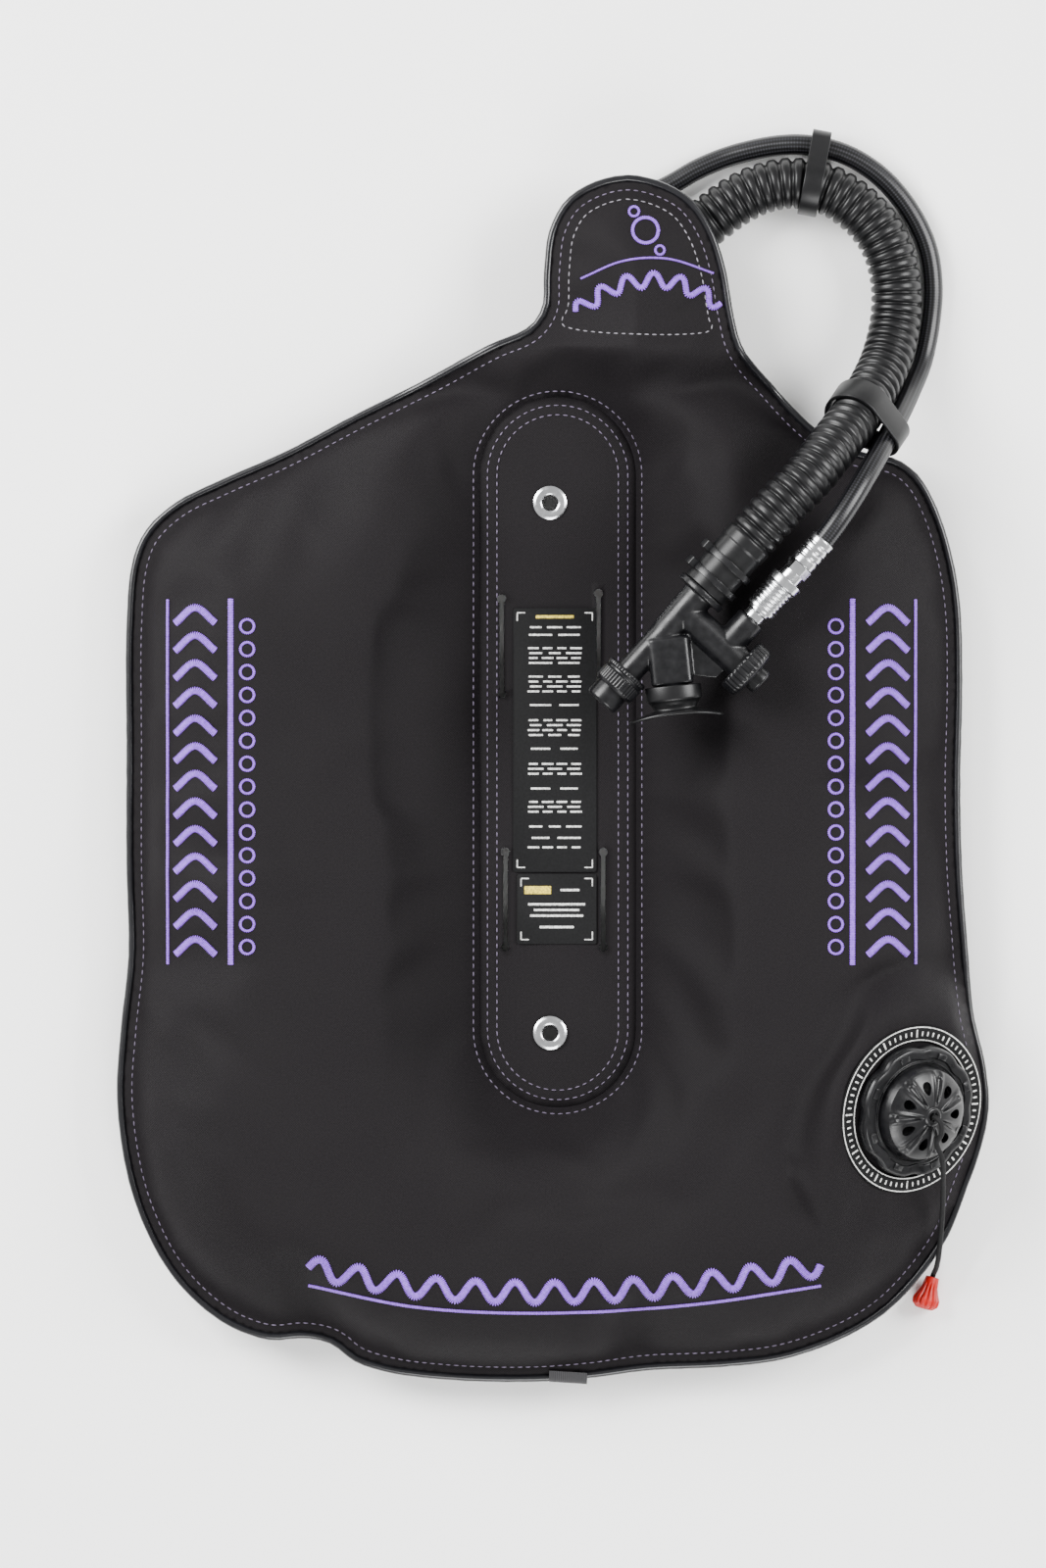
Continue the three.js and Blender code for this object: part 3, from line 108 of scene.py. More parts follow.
floor_paint, *_ = material("matt_white_board", Base_Color=linear("#fbfbfa"), Roughness=0.9)
bpy.ops.mesh.primitive_plane_add(size=FLOOR_SIZE)
floor = bpy.context.object
floor.name = "floor"
floor.data.materials.append(floor_paint)

world = bpy.data.worlds.new("studio")
scene.world = world
world.use_nodes = True
backdrop = world.node_tree.nodes["Background"]
backdrop.inputs["Color"].default_value = linear("#ffffff")
backdrop.inputs["Strength"].default_value = ROOM_LIGHT

SOFTBOXES = [                      # place in metres, size in metres, power in watts
    ((-1.5, 1.0, 1.5), 1.3, 150),
    ((1.6, 0.5, 1.3), 1.0, 72),
    ((0.2, -1.8, 1.4), 1.2, 56),
]
for number, (place, size, power) in enumerate(SOFTBOXES):
    lamp = bpy.data.lights.new(f"softbox_{number}", "AREA")
    lamp.size = size
    lamp.energy = power
    box = bpy.data.objects.new(lamp.name, lamp)
    box.location = place
    box.rotation_euler = (-Vector(place)).to_track_quat("-Z", "Y").to_euler()
    scene.collection.objects.link(box)

# ---------------------------------------------------------------- corrugated hose
# The breathing-bore hose of the inflator: black moulded rubber, 27 mm over its rings, plain at both cuffs.
# It leaves the elbow under the neck, lies on the floor round the shoulder and climbs the edge to the inflator.
HOSE_RADIUS = 13.5
HOSE_VALLEY = 11.4                 # between two rings
RING_PITCH = 5.9
STEPS_PER_SPAN = 24                # of a curve between two of its given points
CUFF_LENGTH = 31.0                 # smooth end that is tied on the inflator
ELBOW_CUFF = 17.0
ELBOW = (49.6, 277.0)
SPOUT_HEADING = math.radians(28)
SPOUT_Z = 16.8
RIDE_Z = 86.75                     # height of the inflator's middle line
INFLATOR_FOOT = (76.4, 96.6)       # where its barrel meets the hose cuff
INFLATOR_TURN = math.radians(227.6)
INFLATOR = Matrix.Translation((*INFLATOR_FOOT, RIDE_Z)) @ Matrix.Rotation(INFLATOR_TURN, 4, "Z")


def on_inflator(x, y, z=0.0):
    """A point of the inflator's own frame, +X down the barrel and +Y towards the inflate button."""
    return tuple(INFLATOR @ Vector((x, y, z)))


def on_spout(reach):
    return (ELBOW[0] + reach * math.cos(SPOUT_HEADING), ELBOW[1] + reach * math.sin(SPOUT_HEADING), SPOUT_Z)


def climbing(points, low):
    """Route points whose third value is the climb, 0 on the floor and 1 level with the inflator."""
    return [(x, y, low + (RIDE_Z - low) * climb) for x, y, climb in points]


def distances(path):
    """How far along a path each of its points lies."""
    return np.concatenate([[0], np.cumsum(np.linalg.norm(np.diff(path, axis=0), axis=1))])


def headings(path):
    """Unit directions along a path."""
    forward = np.gradient(path, axis=0)
    return forward / np.linalg.norm(forward, axis=1)[:, None]


def smooth_path(points, spacing):
    """A centripetal Catmull-Rom curve through the points, as points that are evenly spaced along it."""
    p = np.array(points, float)
    p = np.vstack([2 * p[0] - p[1], p, 2 * p[-1] - p[-2]])
    fine = []
    for a, b, c, d in zip(p, p[1:], p[2:], p[3:]):
        t1 = np.linalg.norm(b - a) ** 0.5
        t2 = t1 + np.linalg.norm(c - b) ** 0.5
        t3 = t2 + np.linalg.norm(d - c) ** 0.5
        t = np.linspace(t1, t2, STEPS_PER_SPAN, endpoint=False)[:, None]
        ab = (t1 - t) / t1 * a + t / t1 * b
        bc = (t2 - t) / (t2 - t1) * b + (t - t1) / (t2 - t1) * c
        cd = (t3 - t) / (t3 - t2) * c + (t - t2) / (t3 - t2) * d
        abc = (t2 - t) / t2 * ab + t / t2 * bc
        bcd = (t3 - t) / (t3 - t1) * bc + (t - t1) / (t3 - t1) * cd
        fine.append((t2 - t) / (t2 - t1) * abc + (t - t1) / (t2 - t1) * bcd)
    fine = np.vstack([*fine, p[-2]])
    along = distances(fine)
    count = max(2, round(along[-1] / spacing) + 1)
    want = np.linspace(0, along[-1], count)
    return np.column_stack([np.interp(want, along, fine[:, k]) for k in range(fine.shape[1])])


def mesh_piece(name, points, faces, finish, uv=None, smooth=True):
    """A new mesh object from millimetre points. uv gives one pair per point."""
    mesh = bpy.data.meshes.new(name)
    mesh.from_pydata((np.array(points, float) * MM).tolist(), [], [list(f) for f in faces])
    mesh.validate()
    mesh.polygons.foreach_set("use_smooth", [smooth] * len(mesh.polygons))
    if uv is not None:
        layer = mesh.uv_layers.new(name="UVMap")
        corner = np.zeros(len(mesh.loops), int)
        mesh.loops.foreach_get("vertex_index", corner)
        layer.data.foreach_set("uv", np.array(uv, float)[corner].ravel())
    mesh.materials.append(finish)
    made = bpy.data.objects.new(name, mesh)
    scene.collection.objects.link(made)
    return made


def strips(rows, sides):
    """Quads between the neighbouring rows of a tube of points."""
    at = lambda row, k: row * sides + k % sides
    return [(at(r, k), at(r, k + 1), at(r + 1, k + 1), at(r + 1, k)) for r in range(rows - 1) for k in range(sides)]


def swept(path, radius, sides):
    """Points, faces and UVs of a closed tube along a path. radius takes the distance along the path in millimetres
    and the angles round it. U runs once round, V is the distance along."""
    tangent = headings(path)
    side = np.cross(tangent[0], (0, 0, 1))
    sides_now = []
    for t in tangent:
        side = side - t * (side @ t)
        side /= np.linalg.norm(side)
        sides_now.append(side)
    across = np.array(sides_now)
    up = np.cross(across, tangent)
    along = distances(path)
    angle = np.linspace(0, 2 * math.pi, sides, endpoint=False)
    r = radius(along[:, None], angle[None, :]) * np.ones((len(path), sides))
    rings = path[:, None, :] + r[..., None] * (
        across[:, None, :] * np.cos(angle)[None, :, None] + up[:, None, :] * np.sin(angle)[None, :, None])
    points = np.vstack([rings.reshape(-1, 3), path[:1], path[-1:]])
    count = len(path)
    faces = strips(count, sides)
    start, end, last_row = count * sides, count * sides + 1, (count - 1) * sides
    faces += [((k + 1) % sides, k, start) for k in range(sides)]
    faces += [(last_row + k, last_row + (k + 1) % sides, end) for k in range(sides)]
    around = np.tile(np.minimum(np.arange(sides) / sides, 1 - np.arange(sides) / sides) * 2, count)
    uv = np.column_stack([around, np.repeat(along, sides)])
    return points, faces, np.vstack([uv, [[0, 0], [0, along[-1]]]])


hose_path = smooth_path([
    on_spout(16.3), on_spout(24), on_spout(34),
    *climbing([
        (95, 304, 0), (107.5, 310.5, 0), (121, 314, 0), (133, 314, 0), (145, 311, 0), (157.5, 303.5, 0),
        (168.5, 293, 0), (176.5, 279.5, 0), (181, 261, 0), (180.5, 241, 0.02), (175.5, 221, 0.14),
        (168.5, 206, 0.32), (158.5, 190, 0.57), (147, 175, 0.79), (133, 157.5, 0.94)], SPOUT_Z),
    on_inflator(-58, 0), on_inflator(-46, 0), on_inflator(-30, 0), on_inflator(-3.3, 0),
], RING_PITCH / 9)
hose_length = distances(hose_path)[-1]


def hose_radius(along, angle):
    """Rounded rings with narrow grooves between them, and plain cuffs."""
    wave = np.abs(((along - ELBOW_CUFF) / RING_PITCH) % 1 - 0.5) * 2
    ring_shape = 1 - np.clip((wave - 0.35) / 0.6, 0, 1) ** 1.6
    plain = (along < ELBOW_CUFF) | (along > hose_length - CUFF_LENGTH)
    flange = (along > hose_length - CUFF_LENGTH - 2.5) & (along < hose_length - CUFF_LENGTH + 1.5)
    ringed = HOSE_VALLEY + (HOSE_RADIUS - HOSE_VALLEY) * ring_shape
    return np.where(flange, HOSE_RADIUS, np.where(plain, HOSE_RADIUS - 0.6, ringed))


def mixed(tree, share, dark, light):
    """The colour between dark and light, each a hex colour or a socket, at a share."""
    dark, light = (linear(c) if isinstance(c, str) else c for c in (dark, light))
    return add_node(tree, "ShaderNodeMix", {"data_type": "RGBA"}, Factor=share, _6=dark, _7=light).outputs[2]


def tinted(tree, shader, share, dark, light):
    tree.links.new(mixed(tree, share, dark, light), shader.inputs["Base Color"])


def raised(tree, shader, height, strength, depth):
    """A bump of this depth in millimetres."""
    bump = add_node(tree, "ShaderNodeBump", Height=height, Strength=strength, Distance=depth * MM)
    tree.links.new(bump.outputs["Normal"], shader.inputs["Normal"])


def mottled(name, spot, detail, colours=None, rough=None, bump=None, **inputs):
    """A material broken up by noise with spots of this size in millimetres. The noise runs through the two colours
    or the two roughnesses that are given, and a bump is a strength and a depth."""
    made, tree, shader = material(name, **inputs)
    place = add_node(tree, "ShaderNodeTexCoord").outputs["Object"]
    noise = add_node(tree, "ShaderNodeTexNoise", Vector=place, Scale=1 / (spot * MM), Detail=detail).outputs["Fac"]
    if colours:
        tinted(tree, shader, noise, *colours)
    if rough:
        spread = add_node(tree, "ShaderNodeMapRange", _0=noise, _1=0.3, _2=0.7, _3=rough[0], _4=rough[1])
        tree.links.new(spread.outputs[0], shader.inputs["Roughness"])
    if bump:
        raised(tree, shader, noise, *bump)
    return made


def declared(piece, slot, body, *nodes):
    """Hides the CAD nodes that a finished piece stands for and attaches it to the body it moves with. slot is not used.
    """
    if nodes:
        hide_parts(*nodes)
    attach(piece, body)
    return piece


# Carbon-black moulded rubber: a soft satin skin with faint dust in the grain of the mould.
hose_rubber = mottled("moulded_black_rubber", 2.2, 3.0, ("#040405", "#101011"), bump=(0.15, 0.1), Roughness=0.36,
                      Specular_IOR_Level=0.28)
corrugated_hose = mesh_piece("hose_corrugated", *swept(hose_path, hose_radius, 48)[:2], hose_rubber)
declared(corrugated_hose, "rubber", "hose", "corrugated_hose")

# ---------------------------------------------------------------- supply hose
# The low-pressure hose that feeds the inflator: rubber under a braided nylon sock, 11.5 mm thick and crimped in
# nickel ferrules. What isn't needed beside the big hose is tucked under the neck, with its regulator end.
SUPPLY_RADIUS = 5.75
SUPPLY_Z = 6.15
TAIL_END = (20.0, 136.0, 7.45)
COUPLING_END = (-47.6, 28.8)       # on the inflator, where the hose enters the ferrule
BRAID_STRANDS = 16                 # round the sock, in each direction
BRAID_LAY = 24.0                   # millimetres for one turn of a strand
supply_path = smooth_path([
    on_inflator(*COUPLING_END), on_inflator(-64.6, 28.8),
    *climbing([
        (151.5, 139, 0.98), (161.5, 155, 0.9), (171, 171.5, 0.72), (180, 187.5, 0.47), (188.5, 205, 0.2),
        (195, 221, 0.05), (199, 240, 0), (200.5, 261, 0), (197.5, 281, 0), (188.5, 300, 0.01),
        (175, 316.5, 0.03), (159.5, 327.5, 0.05), (145, 333, 0.06), (131.5, 335, 0.06), (118, 334.5, 0.04),
        (104, 332, 0.02), (90, 328, 0), (76, 322, 0), (63, 314.5, 0), (49, 307.5, 0), (35, 300, 0),
        (22.5, 289, 0), (13.5, 273, 0), (10, 255, 0), (11, 236, 0), (13.5, 214, 0), (16.5, 190, 0),
        (19, 165, 0.002), (20, 150, 0.012)], SUPPLY_Z),
    TAIL_END,
], 0.75)


def braid_radius(along, angle):
    """The sock's strands stand out where they cross over and dip where they cross under."""
    turn = 2 * math.pi * along / BRAID_LAY
    crossing = np.cos(BRAID_STRANDS / 2 * (angle + turn)) * np.cos(BRAID_STRANDS / 2 * (angle - turn))
    return SUPPLY_RADIUS - 0.25 + 0.25 * crossing


def calculated(tree, operation, *values):
    """The result of a maths node on these values or sockets."""
    inputs = {f"_{k}": value for k, value in enumerate(values)}
    return add_node(tree, "ShaderNodeMath", {"operation": operation}, **inputs).outputs[0]


# Braided nylon monofilament: glossy black strands with a grey glint painted into the colour of each, worked out from
# angle and distance.
braid, tree, shader = material("braided_nylon_sock", Roughness=0.33, Specular_IOR_Level=0.35)
place = add_node(tree, "ShaderNodeUVMap", {"uv_map": "UVMap"}).outputs["UV"]
split = add_node(tree, "ShaderNodeSeparateXYZ", Vector=place)
lanes = []
for lean in (1, -1):
    turned_by = calculated(tree, "MULTIPLY", split.outputs["Y"], lean / BRAID_LAY)
    lane = calculated(tree, "MULTIPLY_ADD", split.outputs["X"], 0.5, turned_by)
    lanes.append(calculated(tree, "COSINE", calculated(tree, "MULTIPLY", lane, BRAID_STRANDS * math.pi)))
crossing = calculated(tree, "MULTIPLY", *lanes)
# Painted highlight: where the strands cross over, their colour is painted grey as a glint.
painted_glint_share = add_node(tree, "ShaderNodeMapRange", {"clamp": True}, _0=crossing, _1=-0.2, _2=0.95)
tinted(tree, shader, painted_glint_share.outputs[0], "#020202", "#2c2c30")

points, faces, uv = swept(supply_path, braid_radius, 40)
supply_hose = mesh_piece("supply_hose", points, faces, braid, uv)
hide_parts("lp_hose", "lp_hose_tail")

# ---------------------------------------------------------------- dump valve frame and pull cord
# A 3 mm black cord leaves the eyelet of the dump valve, hangs down the side of the wing and ends in a red knob.
VALVE_TILT = math.radians(36)
VALVE_HEADING = math.radians(-19)
VALVE_AXIS = Vector((math.sin(VALVE_TILT) * math.cos(VALVE_HEADING), math.sin(VALVE_TILT) * math.sin(VALVE_HEADING),
                     math.cos(VALVE_TILT)))
VALVE_MIDDLE = Vector((187.5, -173.0, 57.65))
VALVE = Matrix.Translation(VALVE_MIDDLE) @ Vector((0, 0, 1)).rotation_difference(VALVE_AXIS).to_matrix().to_4x4()
DOME_TOP = 21.2
CORD_RADIUS = 1.5
YARN_LAY = 9.0                     # millimetres for one turn of a yarn
KNOB = (200.6, -263.0, 7.6)
KNOB_HEADING = math.radians(-106)


def on_valve(x, y, z):
    return tuple(VALVE @ Vector((x, y, z)))


def on_knob(reach, z=KNOB[2]):
    return (KNOB[0] + reach * math.cos(KNOB_HEADING), KNOB[1] + reach * math.sin(KNOB_HEADING), z)


cord_path = smooth_path([
    on_valve(0, 0, DOME_TOP - 1.6), on_valve(0, 0, DOME_TOP + 2.2), on_valve(1.3, -2.6, DOME_TOP + 5),
    on_valve(2.2, -8, DOME_TOP + 4.4), on_valve(2.4, -14, DOME_TOP + 0.6),
    (203.8, -199, 68), (204.5, -212, 57), (204.6, -224, 47.5), (204.2, -236, 39), (203.6, -246, 32),
    (202.9, -253.5, 24.5), (202, -258.5, 16), on_knob(-1.5, 8.0), on_knob(3),
], 0.5)

# Kernmantle cord: a black nylon sheath braided from fine yarn.
cord_sheath, tree, shader = material("braided_nylon_cord", Base_Color=linear("#070708"), Roughness=0.65,
                                     Specular_IOR_Level=0.2)
place = add_node(tree, "ShaderNodeUVMap", {"uv_map": "UVMap"}).outputs["UV"]
yarn = add_node(tree, "ShaderNodeTexWave", {"wave_type": "BANDS", "bands_direction": "DIAGONAL"}, Vector=place,
                Scale=1.2)
raised(tree, shader, yarn.outputs["Fac"], 0.5, 0.2)


def yarn_radius(along, angle):
    """Eight fat yarns that cross each way."""
    turn = 2 * math.pi * along / YARN_LAY
    return CORD_RADIUS - 0.12 + 0.12 * np.cos(4 * (angle + turn)) * np.cos(4 * (angle - turn))


points, faces, uv = swept(cord_path, yarn_radius, 24)
pull_cord = mesh_piece("valve_pull_cord", points, faces, cord_sheath, uv)
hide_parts("pull_cord")

# ---------------------------------------------------------------- wing cover
# Front and back of 1000 denier coated nylon, sewn together round the edge and round a slot-shaped middle panel,
# with the bladder between them. The slack cloth is filled by a cloth simulation, and the floor flattens its back.
OUTLINE = [
    (39, 318), (58, 314), (73, 305), (84, 289), (91, 268), (95, 245), (100, 227),
    (115, 209), (135, 188), (150, 177), (166, 172), (181, 169), (193, 160), (203, 142),
    (211, 116), (215, 90), (216, 49), (215, -3), (216, -49), (219, -90),
    (222, -124), (228, -150), (230, -173), (226, -194), (218, -217), (209, -240),
    (196, -260), (176, -281), (153, -295), (122, -306), (91, -310), (50, -312),
    (19, -316), (-12, -318), (-54, -317), (-87, -313), (-105, -307), (-117, -298),
    (-131, -295), (-149, -296), (-170, -289), (-188, -276), (-203, -259), (-216, -235),
    (-225, -207), (-230, -168), (-228, -132), (-224, -93), (-225, -44), (-225, 18),
    (-225, 80), (-222, 114), (-215, 131), (-199, 146), (-175, 158), (-141, 173),
    (-105, 192), (-69, 210), (-33, 229), (-13, 238), (-6, 248), (-5, 266),
    (-2, 289), (7, 305), (21, 314),
]
PIPING_RADIUS = 2.1
EDGE_SEAM = 6.0                    # flat seam allowance inside the piping
CENTRE_X, CENTRE_RADIUS, CENTRE_TOP, CENTRE_FOOT = 2.5, 41.0, 201.0, -173.0
SEAM_Z = 22.0
NECK_LIFT = 18.0                   # the neck's seam is raised over the elbow
LOBE_RISE = 46.0
LOBE_DROP = 44.0
EDGE_ROUNDING, CENTRE_ROUNDING = 85.0, 60.0
NECK_FILL = 0.5
CLOTH_PITCH = 5.4                  # between the simulated cloth's points
LOBE_CREST = 69.3                  # the lobes stay under the inflator
CREST_EASE = 5.0                   # the last millimetres below the crest are rounded off
COVER_LOWEST = 0.4                 # above the floor
SLACK, PRESSURE, FRAMES = 0.04, 2.5, 22    # of the cloth simulation
FURTHEST = 11.0                    # that the simulation may move the cloth
SEAT_RADIUS = 46.0                 # flat patch under the dump valve's badge
SEAT_ROLL, SEAT_CREST = 34.0, 84.0   # how far the cloth rolls off the seat, and how high it may rise there
PORT_SEAT_RADIUS = 24.0
PORT_FACE = 38.3


def resampled(loop, spacing):
    """A closed smooth loop through the points, evenly spaced."""
    path = smooth_path(np.vstack([loop[-3:], loop, loop[:3]]), 1.0)
    start = np.argmin(np.linalg.norm(path[:200] - loop[0], axis=1))
    end = len(path) - 200 + np.argmin(np.linalg.norm(path[-200:] - loop[0], axis=1))
    ring = path[start:end]
    along = distances(ring)
    want = np.linspace(0, along[-1], round(along[-1] / spacing), endpoint=False)
    return np.column_stack([np.interp(want, along, ring[:, k]) for k in range(2)])


def inset(loop, distance):
    """A clockwise loop moved inwards."""
    along = np.roll(loop, -1, axis=0) - np.roll(loop, 1, axis=0)
    along /= np.linalg.norm(along, axis=1)[:, None]
    return loop + np.column_stack([along[:, 1], -along[:, 0]]) * distance


def loop_distance(points, loop):
    """Distance in plan from each point to a closed loop."""
    a, b = loop, np.roll(loop, -1, axis=0)
    best = np.full(len(points), 1e9)
    for (ax, ay), (dx, dy) in zip(a, b - a):
        px, py = points[:, 0] - ax, points[:, 1] - ay
        t = np.clip((px * dx + py * dy) / (dx * dx + dy * dy), 0, 1)
        best = np.minimum(best, np.hypot(px - t * dx, py - t * dy))
    return best


def inside(points, loop):
    """Which points lie inside a closed loop in plan."""
    x, y = points[:, 0], points[:, 1]
    hit = np.zeros(len(points), bool)
    for (ax, ay), (bx, by) in zip(loop, np.roll(loop, -1, axis=0)):
        if ay != by:
            hit ^= ((ay > y) != (by > y)) & (x < (bx - ax) * (y - ay) / (by - ay) + ax)
    return hit


def smoothstep(x, low, high):
    t = np.clip((x - low) / (high - low), 0, 1)
    return t * t * (3 - 2 * t)


def triangulated(loops, grid, merge):
    """Plan points and triangles, seen from their front, inside the first closed loop and outside the others. Points
    closer together than merge become one."""
    edges, first = [], 0
    for loop in loops:
        edges += [(first + k, first + (k + 1) % len(loop)) for k in range(len(loop))]
        first += len(loop)
    corners = [Vector(c) for c in np.vstack([*loops, grid])]
    plan, _, pieces, *_ = geometry.delaunay_2d_cdt(corners, edges, [], 0, merge)
    plan = np.array([tuple(v) for v in plan])
    pieces = np.array([t for t in pieces if len(t) == 3])
    middles = plan[pieces].mean(axis=1)
    keep = inside(middles, loops[0])
    for hole in loops[1:]:
        keep &= ~inside(middles, hole)
    pieces = pieces[keep]
    area = np.cross(plan[pieces[:, 1]] - plan[pieces[:, 0]], plan[pieces[:, 2]] - plan[pieces[:, 0]])
    pieces[area < 0] = pieces[area < 0][:, ::-1]
    return plan, pieces


outline = resampled(np.array(OUTLINE, float), CLOTH_PITCH)
cloth_edge = inset(outline, PIPING_RADIUS)
spine = lambda y: np.clip(y, CENTRE_FOOT + CENTRE_RADIUS, CENTRE_TOP - CENTRE_RADIUS)
spine_top, spine_foot = CENTRE_TOP - CENTRE_RADIUS, CENTRE_FOOT + CENTRE_RADIUS
cap_turns = np.linspace(0, math.pi, 26, endpoint=False)
side_steps = np.linspace(0, 1, 54, endpoint=False)[:, None]
middle_seam = np.vstack([
    np.column_stack([CENTRE_X + CENTRE_RADIUS * np.cos(cap_turns), spine_top + CENTRE_RADIUS * np.sin(cap_turns)]),
    np.array([CENTRE_X - CENTRE_RADIUS, spine_top]) + side_steps * np.array([0, spine_foot - spine_top]),
    np.column_stack([CENTRE_X - CENTRE_RADIUS * np.cos(cap_turns), spine_foot - CENTRE_RADIUS * np.sin(cap_turns)]),
    np.array([CENTRE_X + CENTRE_RADIUS, spine_foot]) + side_steps * np.array([0, spine_top - spine_foot]),
])


def seam_height(y):
    return SEAM_Z + NECK_LIFT * smoothstep(y, CENTRE_TOP, 229.0)


def centre_distance(p):
    return np.maximum(0, np.hypot(p[:, 0] - CENTRE_X, p[:, 1] - spine(p[:, 1])) - CENTRE_RADIUS)


def lobe_heights(p):
    """Front and back heights of the filled cover over plan points."""
    edge = np.maximum(0, loop_distance(p, cloth_edge) - EDGE_SEAM)
    swell = lambda distance, reach: np.minimum(distance / reach, 1) * (2 - np.minimum(distance / reach, 1))
    full = swell(edge, EDGE_ROUNDING) * swell(centre_distance(p), CENTRE_ROUNDING)
    seam = seam_height(p[:, 1])
    neck = 1 + (NECK_FILL - 1) * smoothstep(p[:, 1], 192.0, 250.0)
    front = seam + 0.8 + LOBE_RISE * neck * full
    from_channel = np.clip(((p[:, 0] - 20) * 25 + (p[:, 1] - 180) * 110) / (25 ** 2 + 110 ** 2), 0, 1)
    away = np.hypot(p[:, 0] - 20 - 25 * from_channel, p[:, 1] - 180 - 110 * from_channel)
    channel = 1 - smoothstep(away, 42, 80)
    back = np.maximum(COVER_LOWEST, seam - 0.8 - LOBE_DROP * full * (1 - channel))
    return front, back


def seat_plane(p):
    """Height of the dump valve's seat plane over plan points, and the distance from its middle within that plane."""
    dx, dy = p[:, 0] - VALVE_MIDDLE.x, p[:, 1] - VALVE_MIDDLE.y
    height = VALVE_MIDDLE.z - (dx * VALVE_AXIS.x + dy * VALVE_AXIS.y) / VALVE_AXIS.z
    return height, np.sqrt(dx ** 2 + dy ** 2 + (height - VALVE_MIDDLE.z) ** 2)


rows = np.arange(-330, 330, CLOTH_PITCH * math.sqrt(3) / 2)
columns = np.arange(-240, 240, CLOTH_PITCH)
grid = np.vstack([np.column_stack([columns + (k % 2) * CLOTH_PITCH / 2, np.full(len(columns), y)])
                  for k, y in enumerate(rows)])
grid = grid[inside(grid, cloth_edge) & (loop_distance(grid, cloth_edge) > CLOTH_PITCH * 0.6)
            & (centre_distance(grid) > CLOTH_PITCH * 0.6)]
plan, triangles = triangulated([cloth_edge, middle_seam], grid, 1e-4)

front_height, back_height = lobe_heights(plan)
edge_away = loop_distance(plan, cloth_edge)
middle_away = centre_distance(plan)
on_seam = (edge_away < 0.5) | (middle_away < 0.5)
seam_now = seam_height(plan[:, 1])
front_height[on_seam] = seam_now[on_seam]
back_height[on_seam] = seam_now[on_seam]

# The cloth is pushed out to the valve's stiff seat, and rolls off it towards the lobe.
plane, from_valve = seat_plane(plan)
seat_share = (1 - smoothstep(from_valve, SEAT_RADIUS, SEAT_RADIUS + SEAT_ROLL)) * smoothstep(edge_away, 0, 9)
front_height = front_height + (np.minimum(plane, SEAT_CREST) - front_height) * seat_share
in_seat = (from_valve < SEAT_RADIUS) & (edge_away > 4)
from_port = np.hypot(plan[:, 0] - ELBOW[0], plan[:, 1] - ELBOW[1])
port_share = (1 - smoothstep(from_port, PORT_SEAT_RADIUS, PORT_SEAT_RADIUS + 16)) * smoothstep(edge_away, 0, 6)
back_height = back_height + (PORT_FACE - back_height) * port_share
in_port = (from_port < PORT_SEAT_RADIUS) & (edge_away > 4)

count = len(plan)
back_of = np.where(on_seam, np.arange(count), np.arange(count) + count)
cover_points = np.vstack([np.column_stack([plan, front_height]), np.column_stack([plan, back_height])])
cover_faces = np.vstack([triangles, back_of[triangles][:, ::-1]])
used = np.unique(cover_faces)
renumber = np.full(2 * count, -1)
renumber[used] = np.arange(len(used))
cover_start = cover_points[used]
cover_faces = renumber[cover_faces]
is_front = used < count
held = np.concatenate([on_seam | in_seat | (edge_away < 5.0), on_seam | in_port | (edge_away < 5.0)])[used]


def filled_cloth(points, faces, held, slack, pressure, frames):
    """Cloth that is sewn down where held, cut larger by slack, and blown up from inside for some frames."""
    sheet = mesh_piece("cloth_trial", points, faces, floor_paint)
    group = sheet.vertex_groups.new(name="held")
    group.add([int(k) for k in np.flatnonzero(held)], 1.0, "REPLACE")
    cloth = sheet.modifiers.new("cloth", "CLOTH")
    settings = cloth.settings
    settings.quality = 7
    settings.mass = 0.25
    settings.tension_stiffness = settings.compression_stiffness = 22
    settings.shear_stiffness = 8
    settings.bending_stiffness = 1.2
    settings.vertex_group_mass = "held"
    settings.shrink_min = -slack
    settings.use_pressure = True
    settings.uniform_pressure_force = pressure
    settings.effector_weights.gravity = 0
    cloth.collision_settings.use_collision = False
    cloth.point_cache.frame_start, cloth.point_cache.frame_end = 1, frames
    for number in range(1, frames + 1):
        scene.frame_set(number)
    blown = sheet.evaluated_get(bpy.context.evaluated_depsgraph_get()).data
    result = np.zeros(len(points) * 3)
    blown.vertices.foreach_get("co", result)
    scene.frame_set(1)
    bpy.data.objects.remove(sheet)
    return result.reshape(-1, 3) / MM


def evened(values, faces, rounds):
    """Averages values over neighbouring points of a triangle mesh a few times."""
    pairs = np.vstack([faces[:, [0, 1]], faces[:, [1, 2]], faces[:, [2, 0]]])
    pairs = np.vstack([pairs, pairs[:, ::-1]])
    share = np.bincount(pairs[:, 0], minlength=len(values))[:, None]
    for _ in range(rounds):
        total = np.zeros_like(values)
        np.add.at(total, pairs[:, 0], values[pairs[:, 1]])
        values = (values + total / share) / 2
    return values


cover_now = cover_start.copy()
blown = filled_cloth(cover_start, cover_faces, held, SLACK, PRESSURE, FRAMES)
moved = blown - cover_start
reach = np.linalg.norm(moved, axis=1)
room = np.tile(np.minimum(edge_away, middle_away), 2)[used]
limit = np.minimum(FURTHEST, 0.35 * np.maximum(room - 2.0, 0) + 0.2)
moved *= (np.minimum(reach, limit) / np.maximum(reach, 1e-6))[:, None]
cover_now = cover_start + evened(moved, cover_faces, 2) * smoothstep(room, 0, 8)[:, None]
too_high = is_front & (np.concatenate([from_valve, from_valve])[used] > SEAT_RADIUS + SEAT_ROLL)
above = np.maximum(cover_now[:, 2] - LOBE_CREST + CREST_EASE, 0)
cover_now[too_high, 2] -= (above - CREST_EASE * (1 - np.exp(-above / CREST_EASE)))[too_high]
cover_now[:, 2] = np.maximum(cover_now[:, 2], COVER_LOWEST)


